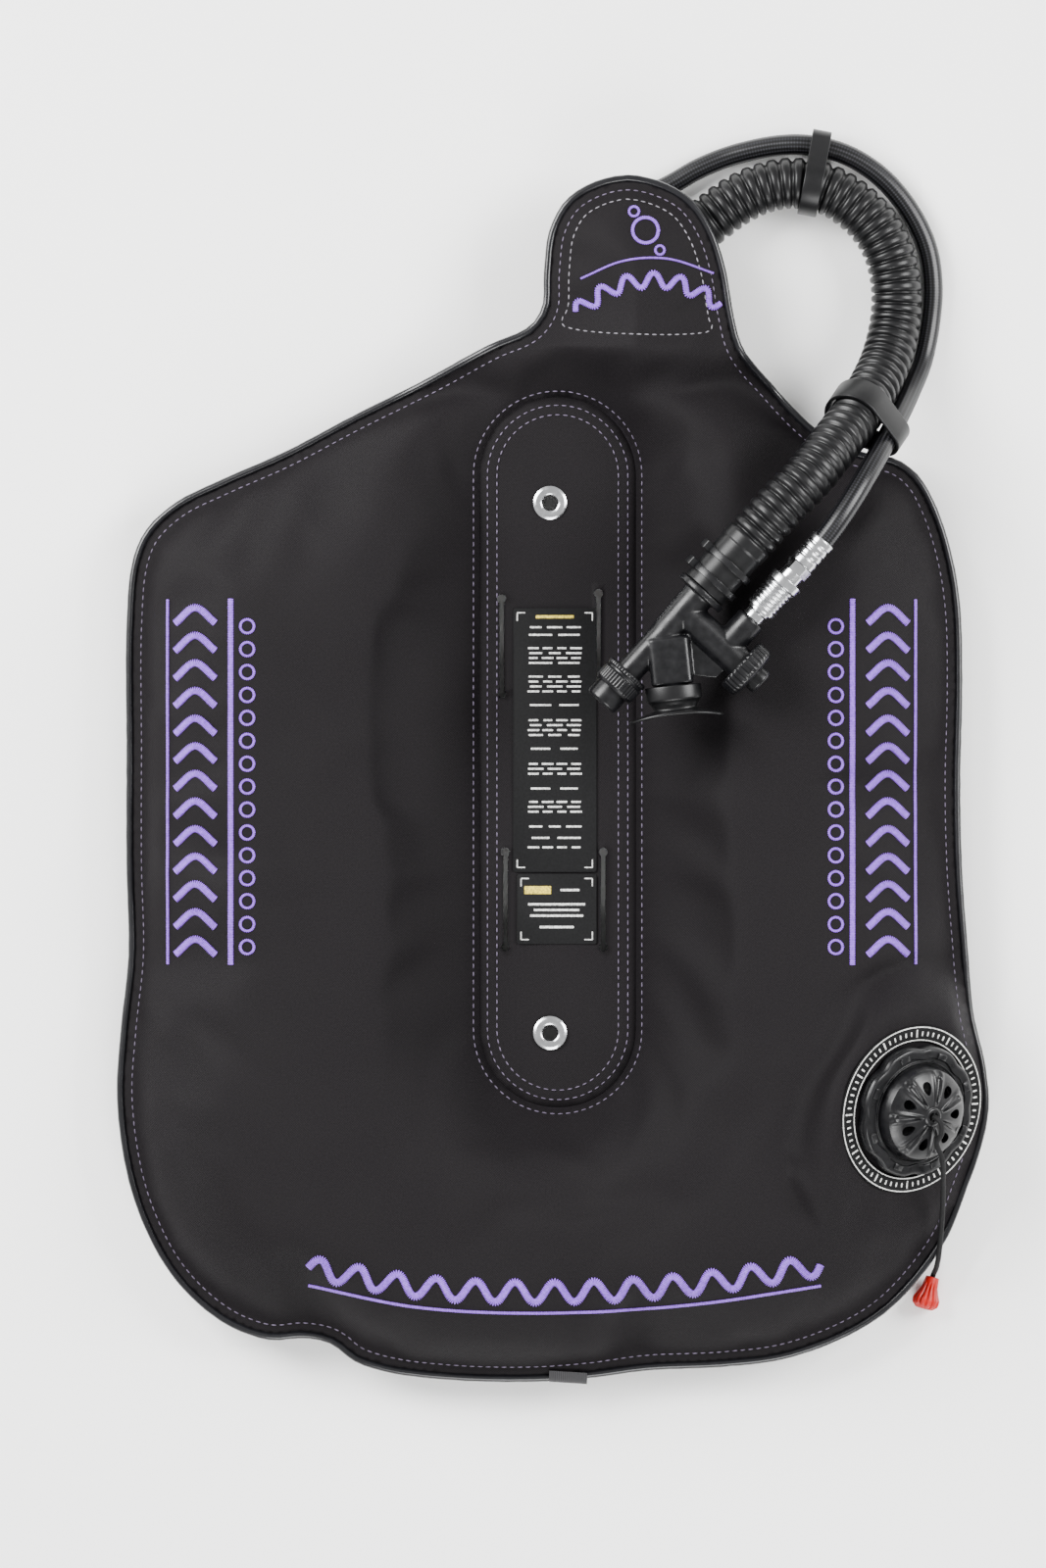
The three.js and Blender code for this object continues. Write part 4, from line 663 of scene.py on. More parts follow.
def baked(name, source, finish=None):
    """The evaluated mesh of an object as a plain object of its own; the source is removed."""
    mesh = bpy.data.meshes.new_from_object(source.evaluated_get(bpy.context.evaluated_depsgraph_get()))
    bpy.data.objects.remove(source)
    mesh.name = name
    mesh.polygons.foreach_set("use_smooth", [True] * len(mesh.polygons))
    if finish:
        mesh.materials.clear()
        mesh.materials.append(finish)
    made = bpy.data.objects.new(name, mesh)
    scene.collection.objects.link(made)
    return made


# Coated 1000 denier nylon: a coarse plain weave of matt black yarn, a little warm, with a faint sheen where the threads
# catch the light. The crowns of the threads are painted lighter as a painted highlight, broken up by slub, and broad
# patches of wear are mixed over it. The weave is drawn at 1.3 mm, twice its real pitch, so that it shows.
WEAVE_PITCH = 1.3
nylon, tree, shader = material("woven_black_nylon", Roughness=0.72, Specular_IOR_Level=0.12, Sheen_Weight=0.02,
                               Sheen_Roughness=0.45)
shader.inputs["Sheen Tint"].default_value = linear("#a9a0ad")
place = add_node(tree, "ShaderNodeUVMap", {"uv_map": "UVMap"}).outputs["UV"]
split = add_node(tree, "ShaderNodeSeparateXYZ", Vector=place)
yarns = []
for axis in ("X", "Y"):
    turn = calculated(tree, "MULTIPLY", split.outputs[axis], 2 * math.pi / WEAVE_PITCH)
    yarns.append(calculated(tree, "SINE", turn))
over = calculated(tree, "MULTIPLY", *yarns)
thread = add_node(tree, "ShaderNodeMapRange", _0=over, _1=-1.0, _2=1.0)
slub = add_node(tree, "ShaderNodeTexNoise", Vector=place, Scale=0.9, Detail=2.0)
cloud = add_node(tree, "ShaderNodeTexNoise", Vector=place, Scale=0.018, Detail=3.0)
# Painted highlight: the crowns of the threads, broken up by slub, are painted lighter.
painted_crown_light = calculated(tree, "MULTIPLY", thread.outputs[0], slub.outputs["Fac"])
worn = add_node(tree, "ShaderNodeMapRange", _0=cloud.outputs["Fac"], _1=0.35, _2=0.7, _3=0.0, _4=0.25)
tinted(tree, shader, worn.outputs[0], mixed(tree, painted_crown_light, "#050405", "#1d191c"), "#141213")
raised(tree, shader, over, 0.35, 0.15)

cover = mesh_piece("cover_cage", cover_now, cover_faces, nylon, cover_now[:, :2])
seam_ends = np.zeros(len(cover.data.edges) * 2, int)
cover.data.edges.foreach_get("vertices", seam_ends)
sewn_edges = np.tile(on_seam, 2)[used][seam_ends.reshape(-1, 2)].all(axis=1)
creases = cover.data.attributes.new("crease_edge", "FLOAT", "EDGE")
creases.data.foreach_set("value", sewn_edges.astype(np.float32))
cover.modifiers.new("finer", "SUBSURF").levels = 1
cover.modifiers["finer"].render_levels = 1
cover = baked("wing_cover", cover)
declared(cover, "nylon", "root", "front_shell", "back_shell")

# The bladder keeps a finger's width inside the seams, where its two films are welded together.
bladder_film, *_ = material("urethane_film", Base_Color=linear("#d8d0b8"), Roughness=0.35)
well_in = (edge_away > 13) & (middle_away > 10)
film = triangles[well_in[triangles].all(axis=1)]
sides = np.sort(np.vstack([film[:, [0, 1]], film[:, [1, 2]], film[:, [2, 0]]]), axis=1)
single, uses = np.unique(sides, axis=0, return_counts=True)
welded = np.zeros(count, bool)
welded[single[uses == 1].ravel()] = True
front_film = cover_now[renumber[np.arange(count)]] - (0, 0, 3.5)
back_film = cover_now[renumber[back_of]] + (0, 0, 2.5)
front_film[:, 2] = np.maximum(front_film[:, 2], back_film[:, 2] + 1)
front_film[welded, 2] = (front_film[welded, 2] + back_film[welded, 2]) / 2
film_back = np.where(welded, np.arange(count), np.arange(count) + count)
film_faces = np.vstack([film, film_back[film][:, ::-1]])
kept, film_faces = np.unique(film_faces, return_inverse=True)
bladder = mesh_piece("bladder_film", np.vstack([front_film, back_film])[kept], film_faces.reshape(-1, 3),
                     bladder_film)
declared(bladder, "bladder", "root", "inner_bladder")

cover_points = np.zeros(len(cover.data.vertices) * 3)
cover.data.vertices.foreach_get("co", cover_points)
cover_tree = BVHTree.FromPolygons((cover_points.reshape(-1, 3) / MM).tolist(),
                                  [tuple(p.vertices) for p in cover.data.polygons])


def on_cover(x, y, above=0.0):
    """The point of the cover's front straight above a plan point, and a little proud of it."""
    hit, normal, *_ = cover_tree.ray_cast(Vector((x, y, 200)), Vector((0, 0, -1)))
    if hit is None:
        return Vector((x, y, SEAM_Z + above))
    return hit + normal * above


# ---------------------------------------------------------------- middle panel
# Inside the slot-shaped seam both covers lie flat together. The panel is pierced for two grommets and for four
# cam band slits, whose ends are punched round so that they don't tear.
GROMMETS = [(-1.5, 145.6), (-1.5, -133.8)]
GROMMET_HOLE = 5.0
SLITS = [(-27, 70), (24, 73), (-25, -63.5), (26.5, -63.5)]
SLIT_LENGTH, SLIT_WIDTH, SLIT_END = 50.0, 2.4, 2.4
PANEL_HALF = 1.65
PANEL_TUCK = 1.6                   # how far its edge goes into the seam
around = np.linspace(0, 2 * math.pi, 28, endpoint=False)
holes = [np.column_stack([x + GROMMET_HOLE * np.cos(around), y + GROMMET_HOLE * np.sin(around)])
         for x, y in GROMMETS]
slit_turns = np.linspace(0.53, 2 * math.pi - 0.53, 12)
for x, y in SLITS:
    half = SLIT_LENGTH / 2
    top = [(x + SLIT_END * math.sin(a), y + half - SLIT_END * math.cos(a)) for a in slit_turns]
    side = [(x - SLIT_WIDTH / 2, y + t) for t in np.linspace(half - 5, 5 - half, 9)]
    foot = [(2 * x - px, 2 * y - py) for px, py in top]
    holes.append(np.array([*top, *side, *foot, *[(2 * x - px, 2 * y - py) for px, py in side]]))
spine_line = np.column_stack([np.full(len(middle_seam), CENTRE_X), spine(middle_seam[:, 1])])
panel_edge = middle_seam + (middle_seam - spine_line) * PANEL_TUCK / CENTRE_RADIUS
steps = np.arange(-200, 220, 4.0)
grid = np.array([(x, y) for y in steps for x in np.arange(-44, 48, 4.0)])
clear = inside(grid, middle_seam) & (loop_distance(grid, middle_seam) > 2.0)
for hole in holes:
    clear &= ~inside(grid, hole) & (loop_distance(grid, hole) > 1.6)
loops = [panel_edge, *holes]
flat, pieces = triangulated(loops, grid[clear], 1e-5)
from_seam = loop_distance(flat, panel_edge)
rise = PANEL_HALF * smoothstep(from_seam, -1.5, 5)
lie = 0.35 * np.sin(flat[:, 1] / 19.0) * np.sin(flat[:, 0] / 11.0 + 1) * smoothstep(from_seam, 4, 14)
top = np.column_stack([flat, SEAM_Z + rise + lie - 0.2])
bottom = np.column_stack([flat, SEAM_Z - rise + lie + 0.2])
shift = len(flat)
faces = [tuple(t) for t in pieces] + [tuple(t[::-1] + shift) for t in pieces]
start = 0
for loop in loops:
    reverse = start == 0 or np.cross(loop[1] - loop[0], loop.mean(axis=0) - loop[0]) <= 0
    for k in range(len(loop)):
        a, b = start + k, start + (k + 1) % len(loop)
        a, b = (b, a) if reverse else (a, b)
        faces.append((a, b, b + shift, a + shift))
    start += len(loop)
middle_panel = mesh_piece("middle_panel", np.vstack([top, bottom]), faces, nylon, np.vstack([flat, flat]))
declared(middle_panel, "nylon", "root")

# ---------------------------------------------------------------- edge piping
# Black vinyl piping on a cord, sewn into the outer seam all the way round. It has the shine of extruded vinyl.
PIPING_SIDES = 16
vinyl = mottled("extruded_black_vinyl", 9, 4.0, ("#060608", "#161619"), bump=(0.2, 0.4), Roughness=0.26,
                Specular_IOR_Level=0.4)
piping_line = inset(outline, PIPING_RADIUS)
piping_line = np.vstack([piping_line, piping_line[:1]])
piping_path = np.column_stack([piping_line, seam_height(piping_line[:, 1])])
pucker = lambda along, angle: PIPING_RADIUS - 0.12 + 0.1 * np.sin(along / 2.1) * np.sin(along / 7.3)
points, faces, uv = swept(piping_path, pucker, PIPING_SIDES)
ring_points = (len(piping_path) - 1) * PIPING_SIDES
faces = [f for f in faces if max(f) < len(piping_path) * PIPING_SIDES]
faces = [tuple(v % ring_points for v in f) for f in faces]
piping = mesh_piece("edge_piping_cord", points[:ring_points], faces, vinyl)
declared(piping, "piping", "root", "edge_piping")

# ---------------------------------------------------------------- stitches
# The seams are topstitched with bonded thread in dashes about 4 mm apart: dull violet along the edge and round the
# middle panel, paler on the neck. Each dash is a short spindle of thread that sinks a little into the cloth.
def sewing_tree():
    """Lays one thread on each point, turned along its own direction and as long as the point says."""
    tree = bpy.data.node_groups.new("sewn_thread", "GeometryNodeTree")
    sockets = {}
    for name, kind in (("Points", "Geometry"), ("Thickness", "Float"), ("Finish", "Material")):
        socket = tree.interface.new_socket(name, in_out="INPUT", socket_type="NodeSocket" + kind)
        sockets[name] = socket.identifier
    tree.interface.new_socket("Geometry", in_out="OUTPUT", socket_type="NodeSocketGeometry")
    given = tree.nodes.new("NodeGroupInput")
    spindle = add_node(tree, "GeometryNodeMeshUVSphere", Segments=8, Rings=5, Radius=0.5)
    along = add_node(tree, "GeometryNodeInputNamedAttribute", {"data_type": "FLOAT_VECTOR"}, Name="along")
    reach = add_node(tree, "GeometryNodeInputNamedAttribute", {"data_type": "FLOAT"}, Name="reach")
    turn = add_node(tree, "FunctionNodeAlignRotationToVector", {"axis": "X"}, Vector=along.outputs["Attribute"])
    size = add_node(tree, "ShaderNodeCombineXYZ", X=reach.outputs["Attribute"], Y=given.outputs["Thickness"],
                    Z=given.outputs["Thickness"])
    laid = add_node(tree, "GeometryNodeInstanceOnPoints", Points=given.outputs["Points"],
                    Instance=spindle.outputs["Mesh"], Rotation=turn.outputs["Rotation"], Scale=size.outputs[0])
    real = add_node(tree, "GeometryNodeRealizeInstances", Geometry=laid.outputs["Instances"])
    finished = add_node(tree, "GeometryNodeSetMaterial", Geometry=real.outputs[0], Material=given.outputs["Finish"])
    tree.links.new(finished.outputs[0], tree.nodes.new("NodeGroupOutput").inputs[0])
    return tree, sockets


SEWING, SEWING_SOCKETS = sewing_tree()


def sewn(name, points, directions, lengths, thickness, finish):
    """A mesh of laid threads, one for each point, in millimetres."""
    rig = mesh_piece(name + "_points", points, [], finish)
    rig.data.attributes.new("along", "FLOAT_VECTOR", "POINT").data.foreach_set("vector", np.ravel(directions))
    rig.data.attributes.new("reach", "FLOAT", "POINT").data.foreach_set("value", np.array(lengths) * MM)
    threads = rig.modifiers.new("threads", "NODES")
    threads.node_group = SEWING
    threads[SEWING_SOCKETS["Thickness"]] = thickness * MM
    threads[SEWING_SOCKETS["Finish"]] = finish
    return baked(name, rig)


def dashes(paths, pitch, length, lift, surface):
    """Points, directions and lengths of running stitches along plan paths that are laid on a surface."""
    points, directions = [], []
    for path in paths:
        line = smooth_path(path, pitch)
        lying = np.array([surface(x, y, lift) for x, y in line])
        points.append(lying)
        directions.append(np.gradient(lying, axis=0))
    points = np.vstack(points)
    return points, np.vstack(directions), np.full(len(points), length)


def thread_finish(name, dark, light):
    """Twisted polyester thread, a satin yarn whose twist breaks the light into short glints; the glints are painted
    into its colour as noise between the dark colour and the light one.
    """
    return mottled(name, 1.3, 2.0, (dark, light), Roughness=0.42, Specular_IOR_Level=0.35, Sheen_Weight=0.05)


def on_panel(x, y, above=0.0):
    return Vector((x, y, SEAM_Z + PANEL_HALF + above - 0.1))


def slot_line(grow):
    """The middle seam moved outwards in plan, closed."""
    line = middle_seam + (middle_seam - spine_line) * grow / CENTRE_RADIUS
    return np.vstack([line, line[:1]])


STITCH_THICKNESS = 0.75
# The light colour of each thread is its painted glint.
seam_thread = thread_finish("dull_violet_bonded_thread", "#2a2430", "#6d6278")
pale_thread = thread_finish("grey_bonded_thread", "#3c3a3e", "#8f8b93")
edge_row = inset(outline, 8.4)
edge_row = np.vstack([edge_row, edge_row[:1]])
neck_row = [p for p in inset(outline, 13.5) if p[1] > 236]
STITCHES = {                       # paths, pitch, length of a stitch, its height above the surface, and the thread
    "seam_stitches": ([edge_row, slot_line(3.5)], 4.2, 2.9, 0.15, on_cover, seam_thread),
    "panel_stitches": ([slot_line(-4.0), slot_line(-9.0)], 4.2, 2.9, 0.1, on_panel, seam_thread),
    "neck_stitches": ([neck_row], 4.0, 2.8, 0.15, on_cover, pale_thread),
}
for name, (*how, thread_used) in STITCHES.items():
    declared(sewn(name, *dashes(*how), STITCH_THICKNESS, thread_used), "nylon", "root")

# ---------------------------------------------------------------- embroidery
# Each lobe carries a tall panel of satin stitch in violet thread between two lines, and smaller bands cross the neck
# and the foot. The motifs are plain chevrons, waves and rings. Satin stitch is thread laid side by side across
# a stroke.
# The light colour is the thread's painted glint.
violet_thread = thread_finish("violet_embroidery_thread", "#4b2288", "#9560dc")
SATIN_PITCH, SATIN_LIFT = 0.85, 0.25


def satin(strokes):
    """Threads across plan strokes, each a path and a width, laid on the cover."""
    points, directions, lengths = [], [], []
    for path, width in strokes:
        line = smooth_path(path, SATIN_PITCH)
        for (x, y), (fx, fy) in zip(line, headings(line) * width / 2):
            one = on_cover(x - fy, y + fx, SATIN_LIFT)
            other = on_cover(x + fy, y - fx, SATIN_LIFT)
            middle = on_cover(x, y, SATIN_LIFT)
            points.append((one + other) * 0.25 + middle * 0.5)
            directions.append(one - other)
            lengths.append((one - other).length * 1.04)
    return points, directions, lengths


def chevrons(x, y_from, y_to, across, rise, step, width):
    """A column of upward chevrons in the middle of x."""
    return [(np.array([(x - across / 2, y), (x, y + rise), (x + across / 2, y)]), width)
            for y in np.arange(y_from, y_to, step)]


def ringlet(x, y, radius, width):
    turn = np.linspace(0, 2 * math.pi, 13)
    return np.column_stack([x + radius * np.cos(turn), y + radius * np.sin(turn)]), width


def wave(points, swing, count, width):
    """A wavy stroke along a plan path."""
    line = smooth_path(points, 2.0)
    forward = headings(line)
    sway = swing * np.sin(np.linspace(0, 2 * math.pi * count, len(line)))
    return line + np.column_stack([-forward[:, 1], forward[:, 0]]) * sway[:, None], width


lobe_strokes = []
for middle, outward in ((-187.6, 1), (175.5, -1)):
    lobe_strokes += [([(middle - outward * 14.8, 94), (middle - outward * 14.8, -97)], 1.6),
                     ([(middle + outward * 18.8, 94), (middle + outward * 18.8, -97)], 3.2)]
    lobe_strokes += chevrons(middle, -92, 84, 21, 8, 14.5, 4.2)
    lobe_strokes += [ringlet(middle + outward * 27.5, y, 3.6, 1.6) for y in np.arange(-88, 92, 12.0)]
neck_strokes = [ringlet(48.5, 288, 6.8, 2.0), ringlet(42.5, 298, 2.6, 1.5), ringlet(56, 277.5, 2.4, 1.5),
                wave([(12, 246), (35, 259), (62, 261), (88, 250)], 4.0, 6, 3.4),
                ([(15, 263), (36, 271.5), (60, 273), (84, 266)], 1.3)]
foot_strokes = [wave([(-128, -256), (-70, -266), (0, -269), (70, -265), (140, -255)], 5.5, 13, 4.4),
                ([(-128, -266), (-70, -277), (0, -280), (70, -276), (140, -266)], 1.6)]
for name, strokes in (("lobe", lobe_strokes), ("neck", neck_strokes), ("foot", foot_strokes)):
    declared(sewn(name + "_embroidery", *satin(strokes), 1.15, violet_thread), "nylon", "root")

# ---------------------------------------------------------------- grommets
# Two nickel-plated brass grommets take the bolts of the backplate. Each is a turned flange and tube that is rolled
# over a washer behind the panel.
TO_X = Matrix.Rotation(math.pi / 2, 4, "Y")
TO_Y = Matrix.Rotation(-math.pi / 2, 4, "X")


def eased(profile, radius, closed):
    """An outline whose corners are rounded; the two ends of an open one stay as they are."""
    corners = np.array(profile, float)
    soft = []
    for k, here in enumerate(corners):
        if not closed and k in (0, len(corners) - 1):
            soft.append(here)
            continue
        before, after = corners[k - 1] - here, corners[(k + 1) % len(corners)] - here
        cut = min(radius, 0.45 * np.linalg.norm(before), 0.45 * np.linalg.norm(after))
        first, last = here + before / np.linalg.norm(before) * cut, here + after / np.linalg.norm(after) * cut
        soft += [(1 - t) ** 2 * first + 2 * t * (1 - t) * here + t ** 2 * last for t in (0, 0.33, 0.67, 1)]
    return np.array(soft)


def turned(profile, place, ease=0.4, sides=72, shape=None):
    """Points and faces of a turned piece. The profile is radius and height pairs, a loop unless it starts on the axis.
    shape changes x, y, z and the angle before the piece is placed."""
    closed = profile[0][0] > 0
    line = eased(profile, ease, closed)
    angle = np.linspace(0, 2 * math.pi, sides, endpoint=False)
    x, y = line[:, :1] * np.cos(angle), line[:, :1] * np.sin(angle)
    z = line[:, 1:] * np.ones(sides)
    if shape:
        x, y, z = shape(x, y, z, angle * np.ones_like(x))
    points = np.column_stack([x.ravel(), y.ravel(), z.ravel(), np.ones(x.size)]) @ np.array(place).T
    rows = len(line)
    at = lambda row, k: row % rows * sides + k % sides
    faces = [(at(i + 1, k + 1), at(i + 1, k), at(i, k), at(i, k + 1))
             for i in range(rows if closed else rows - 1) for k in range(sides)]
    return points[:, :3], faces


def pared(x, y, z, cut):
    """Takes a depth off the outside of a turned shape."""
    share = 1 - cut / np.maximum(np.hypot(x, y), 1e-6)
    return x * share, y * share, z


def joined(parts):
    """Several sets of points and faces as one."""
    points, faces, first = [], [], 0
    for some_points, some_faces in parts:
        points.append(np.array(some_points))
        faces += [tuple(v + first for v in f) for f in some_faces]
        first += len(some_points)
    return np.vstack(points), faces


def solid(name, parts, finish, sharp=38):
    """A piece of one or more closed shapes. Poles are welded, faces point out, and edges over the angle stay sharp."""
    made = mesh_piece(name, *joined(parts), finish)
    shape = bmesh.new()
    shape.from_mesh(made.data)
    bmesh.ops.remove_doubles(shape, verts=shape.verts, dist=1e-7)
    bmesh.ops.dissolve_degenerate(shape, edges=shape.edges, dist=1e-8)
    bmesh.ops.recalc_face_normals(shape, faces=shape.faces)
    shape.to_mesh(made.data)
    shape.free()
    made.data.set_sharp_from_angle(angle=math.radians(sharp))
    return made


def lathed(name, node, finish, slot, body, profile, place, *how):
    """A turned piece that stands for one CAD node."""
    return declared(solid(name, [turned(profile, place, *how)], finish), slot, body, node)


# Bright nickel plate: smooth, faintly warm, with fine handling marks.
nickel = mottled("bright_nickel_plate", 3, 5.0, rough=(0.12, 0.3), Base_Color=linear("#c9cacc"), Metallic=1.0)

PANEL_FACE, PANEL_BACK = 23.95, 20.05
for name, (x, y) in zip(("upper_grommet", "lower_grommet"), GROMMETS):
    here = Matrix.Translation((x, y, 0))
    lathed(name + "_brass", name, nickel, "nickel", "root", [
        (4.1, PANEL_BACK - 0.6), (4.8, PANEL_BACK - 0.6), (4.8, PANEL_FACE), (9, PANEL_FACE), (9, PANEL_FACE + 0.5),
        (7.4, PANEL_FACE + 1.2), (5.4, PANEL_FACE + 1.2), (4.1, PANEL_FACE + 0.7)], here, 0.5)
    lathed(name + "_backing", name + "_washer", nickel, "nickel", "root", [
        (5.1, PANEL_BACK - 1), (9, PANEL_BACK - 1), (9, PANEL_BACK), (5.1, PANEL_BACK)], here, 0.25)

# ---------------------------------------------------------------- labels
# Two moulded vinyl patches are glued and sewn on the middle panel. Their print is left as plain bars and corner
# brackets in pale ink, because the real wording isn't part of the shape.
PATCHES = {"main_label": ((1, 20.5), (44, 139)), "small_label": ((2, -68.5), (42, 37))}
PATCH_THICKNESS = 0.5


def plate(middle, size, low, high, corner, place=Matrix.Identity(4), steps=6):
    """A flat plate with round corners and a softened top edge."""
    half = np.array(size) / 2 - corner
    turns = np.linspace(0, math.pi / 2, steps)
    quarters = ((1, 1, 0), (-1, 1, math.pi / 2), (-1, -1, math.pi), (1, -1, 1.5 * math.pi))
    rim = np.array([(sx * half[0] + corner * math.cos(t + q), sy * half[1] + corner * math.sin(t + q))
                    for sx, sy, q in quarters for t in turns])
    soft = min(0.25 * (high - low), 0.3 * corner)
    points = []
    for z, less in ((low, soft), (low + soft, 0), (high - soft, 0), (high, soft)):
        ring = rim - np.sign(rim) * less
        points += [(middle[0] + x, middle[1] + y, z) for x, y in ring]
    n = len(rim)
    faces = strips(4, n) + [tuple(range(n))[::-1], tuple(range(3 * n, 4 * n))]
    return np.column_stack([points, np.ones(len(points))]) @ np.array(place).T[:, :3], faces


# Calendered vinyl with a fine leather grain.
label_vinyl = mottled("calendered_black_vinyl", 1.1, 3.0, ("#060606", "#161617"), bump=(0.25, 0.1), Roughness=0.62,
                      Specular_IOR_Level=0.1)


def ink(name, colour, worn):
    """Screen-printed ink, matt and slightly broken where the patch has rubbed."""
    made, tree, shader = material(name, Roughness=0.6)
    place = add_node(tree, "ShaderNodeTexCoord").outputs["Object"]
    rubbed = add_node(tree, "ShaderNodeTexNoise", Vector=place, Scale=1 / (0.9 * MM), Detail=3.0)
    share = add_node(tree, "ShaderNodeMapRange", _0=rubbed.outputs["Fac"], _1=0.35, _2=0.6)
    tinted(tree, shader, share.outputs[0], worn, colour)
    return made


pale_ink = ink("pale_screen_ink", "#d9d9d6", "#8e8e8c")
yellow_ink = ink("yellow_screen_ink", "#d8c03a", "#8f8030")
INK_TOP = PANEL_FACE + PATCH_THICKNESS + 0.12
pale_marks, yellow_marks = [], []
for name, (middle, size) in PATCHES.items():
    patch = plate(middle, size, PANEL_FACE, PANEL_FACE + PATCH_THICKNESS, 1.5)
    declared(solid(name + "_patch", [patch], label_vinyl), "label", "root", name)


def print_bar(where, x, y, width, height):
    where.append(plate((x, y), (width, height), INK_TOP - 0.2, INK_TOP, 0.15, steps=2))


for (x, y), (width, length) in PATCHES.values():
    for sx in (-1, 1):
        for sy in (-1, 1):
            print_bar(pale_marks, x + sx * (width / 2 - 4.2), y + sy * (length / 2 - 2.4), 4.4, 0.6)
            print_bar(pale_marks, x + sx * (width / 2 - 2.2), y + sy * (length / 2 - 4.4), 0.6, 4.4)
PRINT_ROWS = [                     # height on the patch, and how many bars share the row
    (80, 3), (76, 2), (69, 4), (66.4, 3), (63.8, 4), (61.2, 2), (54, 3), (51.4, 4), (48.8, 3), (46.2, 4), (39, 2),
    (31, 4), (28.4, 3), (25.8, 4), (23.2, 3), (16, 2), (8, 4), (5.4, 3), (2.8, 4), (-5, 2), (-12, 4), (-14.6, 3),
    (-17.2, 4), (-25, 3), (-31, 2), (-36, 4),
]
ROW_START, ROW_WIDTH = -14.0, 30.0
for row, (y, bars) in enumerate(PRINT_ROWS):
    share = ROW_WIDTH / bars
    for part in range(bars):
        filled = 0.62 + 0.2 * ((row * 7 + part * 3) % 4) / 3
        print_bar(pale_marks, ROW_START + share * (part + 0.5), y, share * filled, 1.0)
print_bar(yellow_marks, 1, 85.5, 20, 1.6)
print_bar(yellow_marks, -8, -58.5, 14, 4.2)
for y, width in ((-58.5, 10), (-66, 30), (-69, 24), (-72, 28), (-78, 18)):
    print_bar(pale_marks, 9 if y > -60 else 2, y, width, 1.2)
declared(solid("pale_print", pale_marks, pale_ink), "label", "root")
declared(solid("yellow_print", yellow_marks, yellow_ink), "label", "root")

# ---------------------------------------------------------------- bottom tab
# A folded strip of nylon webbing, sewn over the piping at the foot, gives a finger hold.
webbing, tree, shader = material("nylon_webbing", Roughness=0.75, Sheen_Weight=0.1)
place = add_node(tree, "ShaderNodeTexCoord").outputs["Object"]
ribs = add_node(tree, "ShaderNodeTexWave", {"wave_type": "BANDS", "bands_direction": "X"}, Vector=place,
                Scale=1 / (3.4 * MM)).outputs["Fac"]
tinted(tree, shader, ribs, "#070708", "#29282b")
raised(tree, shader, ribs, 0.4, 0.3)

TAB_HALF, TAB_SLANT, TAB_BULGE = 10.0, 0.064, 0.0075
TAB_OUTSIDE, TAB_INSIDE = 3.1, 2.15    # radii of the fold round the piping
TAB_REACH, FOLD_X = 3.2, 0.3
TAB_STEPS = 12
bend = np.linspace(math.pi / 2, 1.5 * math.pi, 13)
outer, inner = ([(FOLD_X + r * math.cos(t), r * math.sin(t)) for t in bend] for r in (TAB_OUTSIDE, TAB_INSIDE))
section = [(TAB_REACH, TAB_OUTSIDE), *outer, (TAB_REACH, -TAB_OUTSIDE), (TAB_REACH, -TAB_INSIDE), *inner[::-1],
           (TAB_REACH, TAB_INSIDE)]
tab_x, tab_y, _ = sum(np.array(corner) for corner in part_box("bottom_tab")) / 2 / MM
tab_points = [(tab_x + TAB_HALF * step, tab_y + x - 0.5 - TAB_SLANT * TAB_HALF * step,
               SEAM_Z + z * (1 + TAB_BULGE * (1 - step ** 2)))
              for step in np.linspace(-1, 1, TAB_STEPS) for x, z in section]
n = len(section)
last_row = (TAB_STEPS - 1) * n
tab_faces = strips(TAB_STEPS, n) + [tuple(range(n)), tuple(range(last_row, last_row + n))[::-1]]
declared(solid("webbing_tab", [(tab_points, tab_faces)], webbing), "nylon", "root", "bottom_tab")

# ---------------------------------------------------------------- zip
# A coil zip under the foot lets the bladder out of the cover: two tapes, a spiral of nylon teeth and a metal slider.
ZIP_Y = -301.0
ZIP_LENGTH, ZIP_TOP = 150.0, 5.3
TOOTH_PITCH, TOOTH_LENGTH, TOOTH_THICKNESS = 1.7, 3.4, 1.2
zip_tape = [plate((0, ZIP_Y + side * 2.15), (ZIP_LENGTH, 3.6), ZIP_TOP - 0.9, ZIP_TOP, 0.4) for side in (-1, 1)]
declared(solid("zip_tape", zip_tape, webbing), "nylon", "root", "zip_chain")
tooth_x = np.arange(-ZIP_LENGTH / 2 + 1.5, ZIP_LENGTH / 2 - 1, TOOTH_PITCH)
tooth_points = [(x, ZIP_Y + 0.35 * (-1) ** k, ZIP_TOP - 0.95) for k, x in enumerate(tooth_x)]
declared(sewn("zip_coil", tooth_points, [(0.16, 1, 0)] * len(tooth_x), [TOOTH_LENGTH] * len(tooth_x),
              TOOTH_THICKNESS, label_vinyl), "nylon", "root")
low, high = (np.array(c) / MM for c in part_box("zip_slider"))
middle = ((low + high) / 2)[:2]
slider_parts = [plate(middle, (9, 6), low[2], low[2] + 0.8, 1.6), plate(middle, (7.5, 4.6), low[2] + 0.5, high[2], 1.2)]
declared(solid("zip_slider_body", slider_parts, nickel), "nickel", "zip_slider", "zip_slider")
low, high = (np.array(c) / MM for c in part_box("zip_pull"))
pull_tag = plate(((low + high) / 2)[:2], (16, 4), low[2], high[2], 1.7)
declared(solid("zip_pull_tag", [pull_tag], nickel), "nickel", "zip_slider", "zip_pull")

# ---------------------------------------------------------------- elbow port
# The big hose enters the neck from behind through a moulded elbow, which turns in a nut and gasket on the bladder.
# Satin black acetal, injection moulded: even and dark, with a soft highlight and the faint ripple of the mould.
acetal = mottled("moulded_black_acetal", 5, 4.0, ("#040405", "#101012"), rough=(0.24, 0.4), Roughness=0.3,
                 Specular_IOR_Level=0.32)


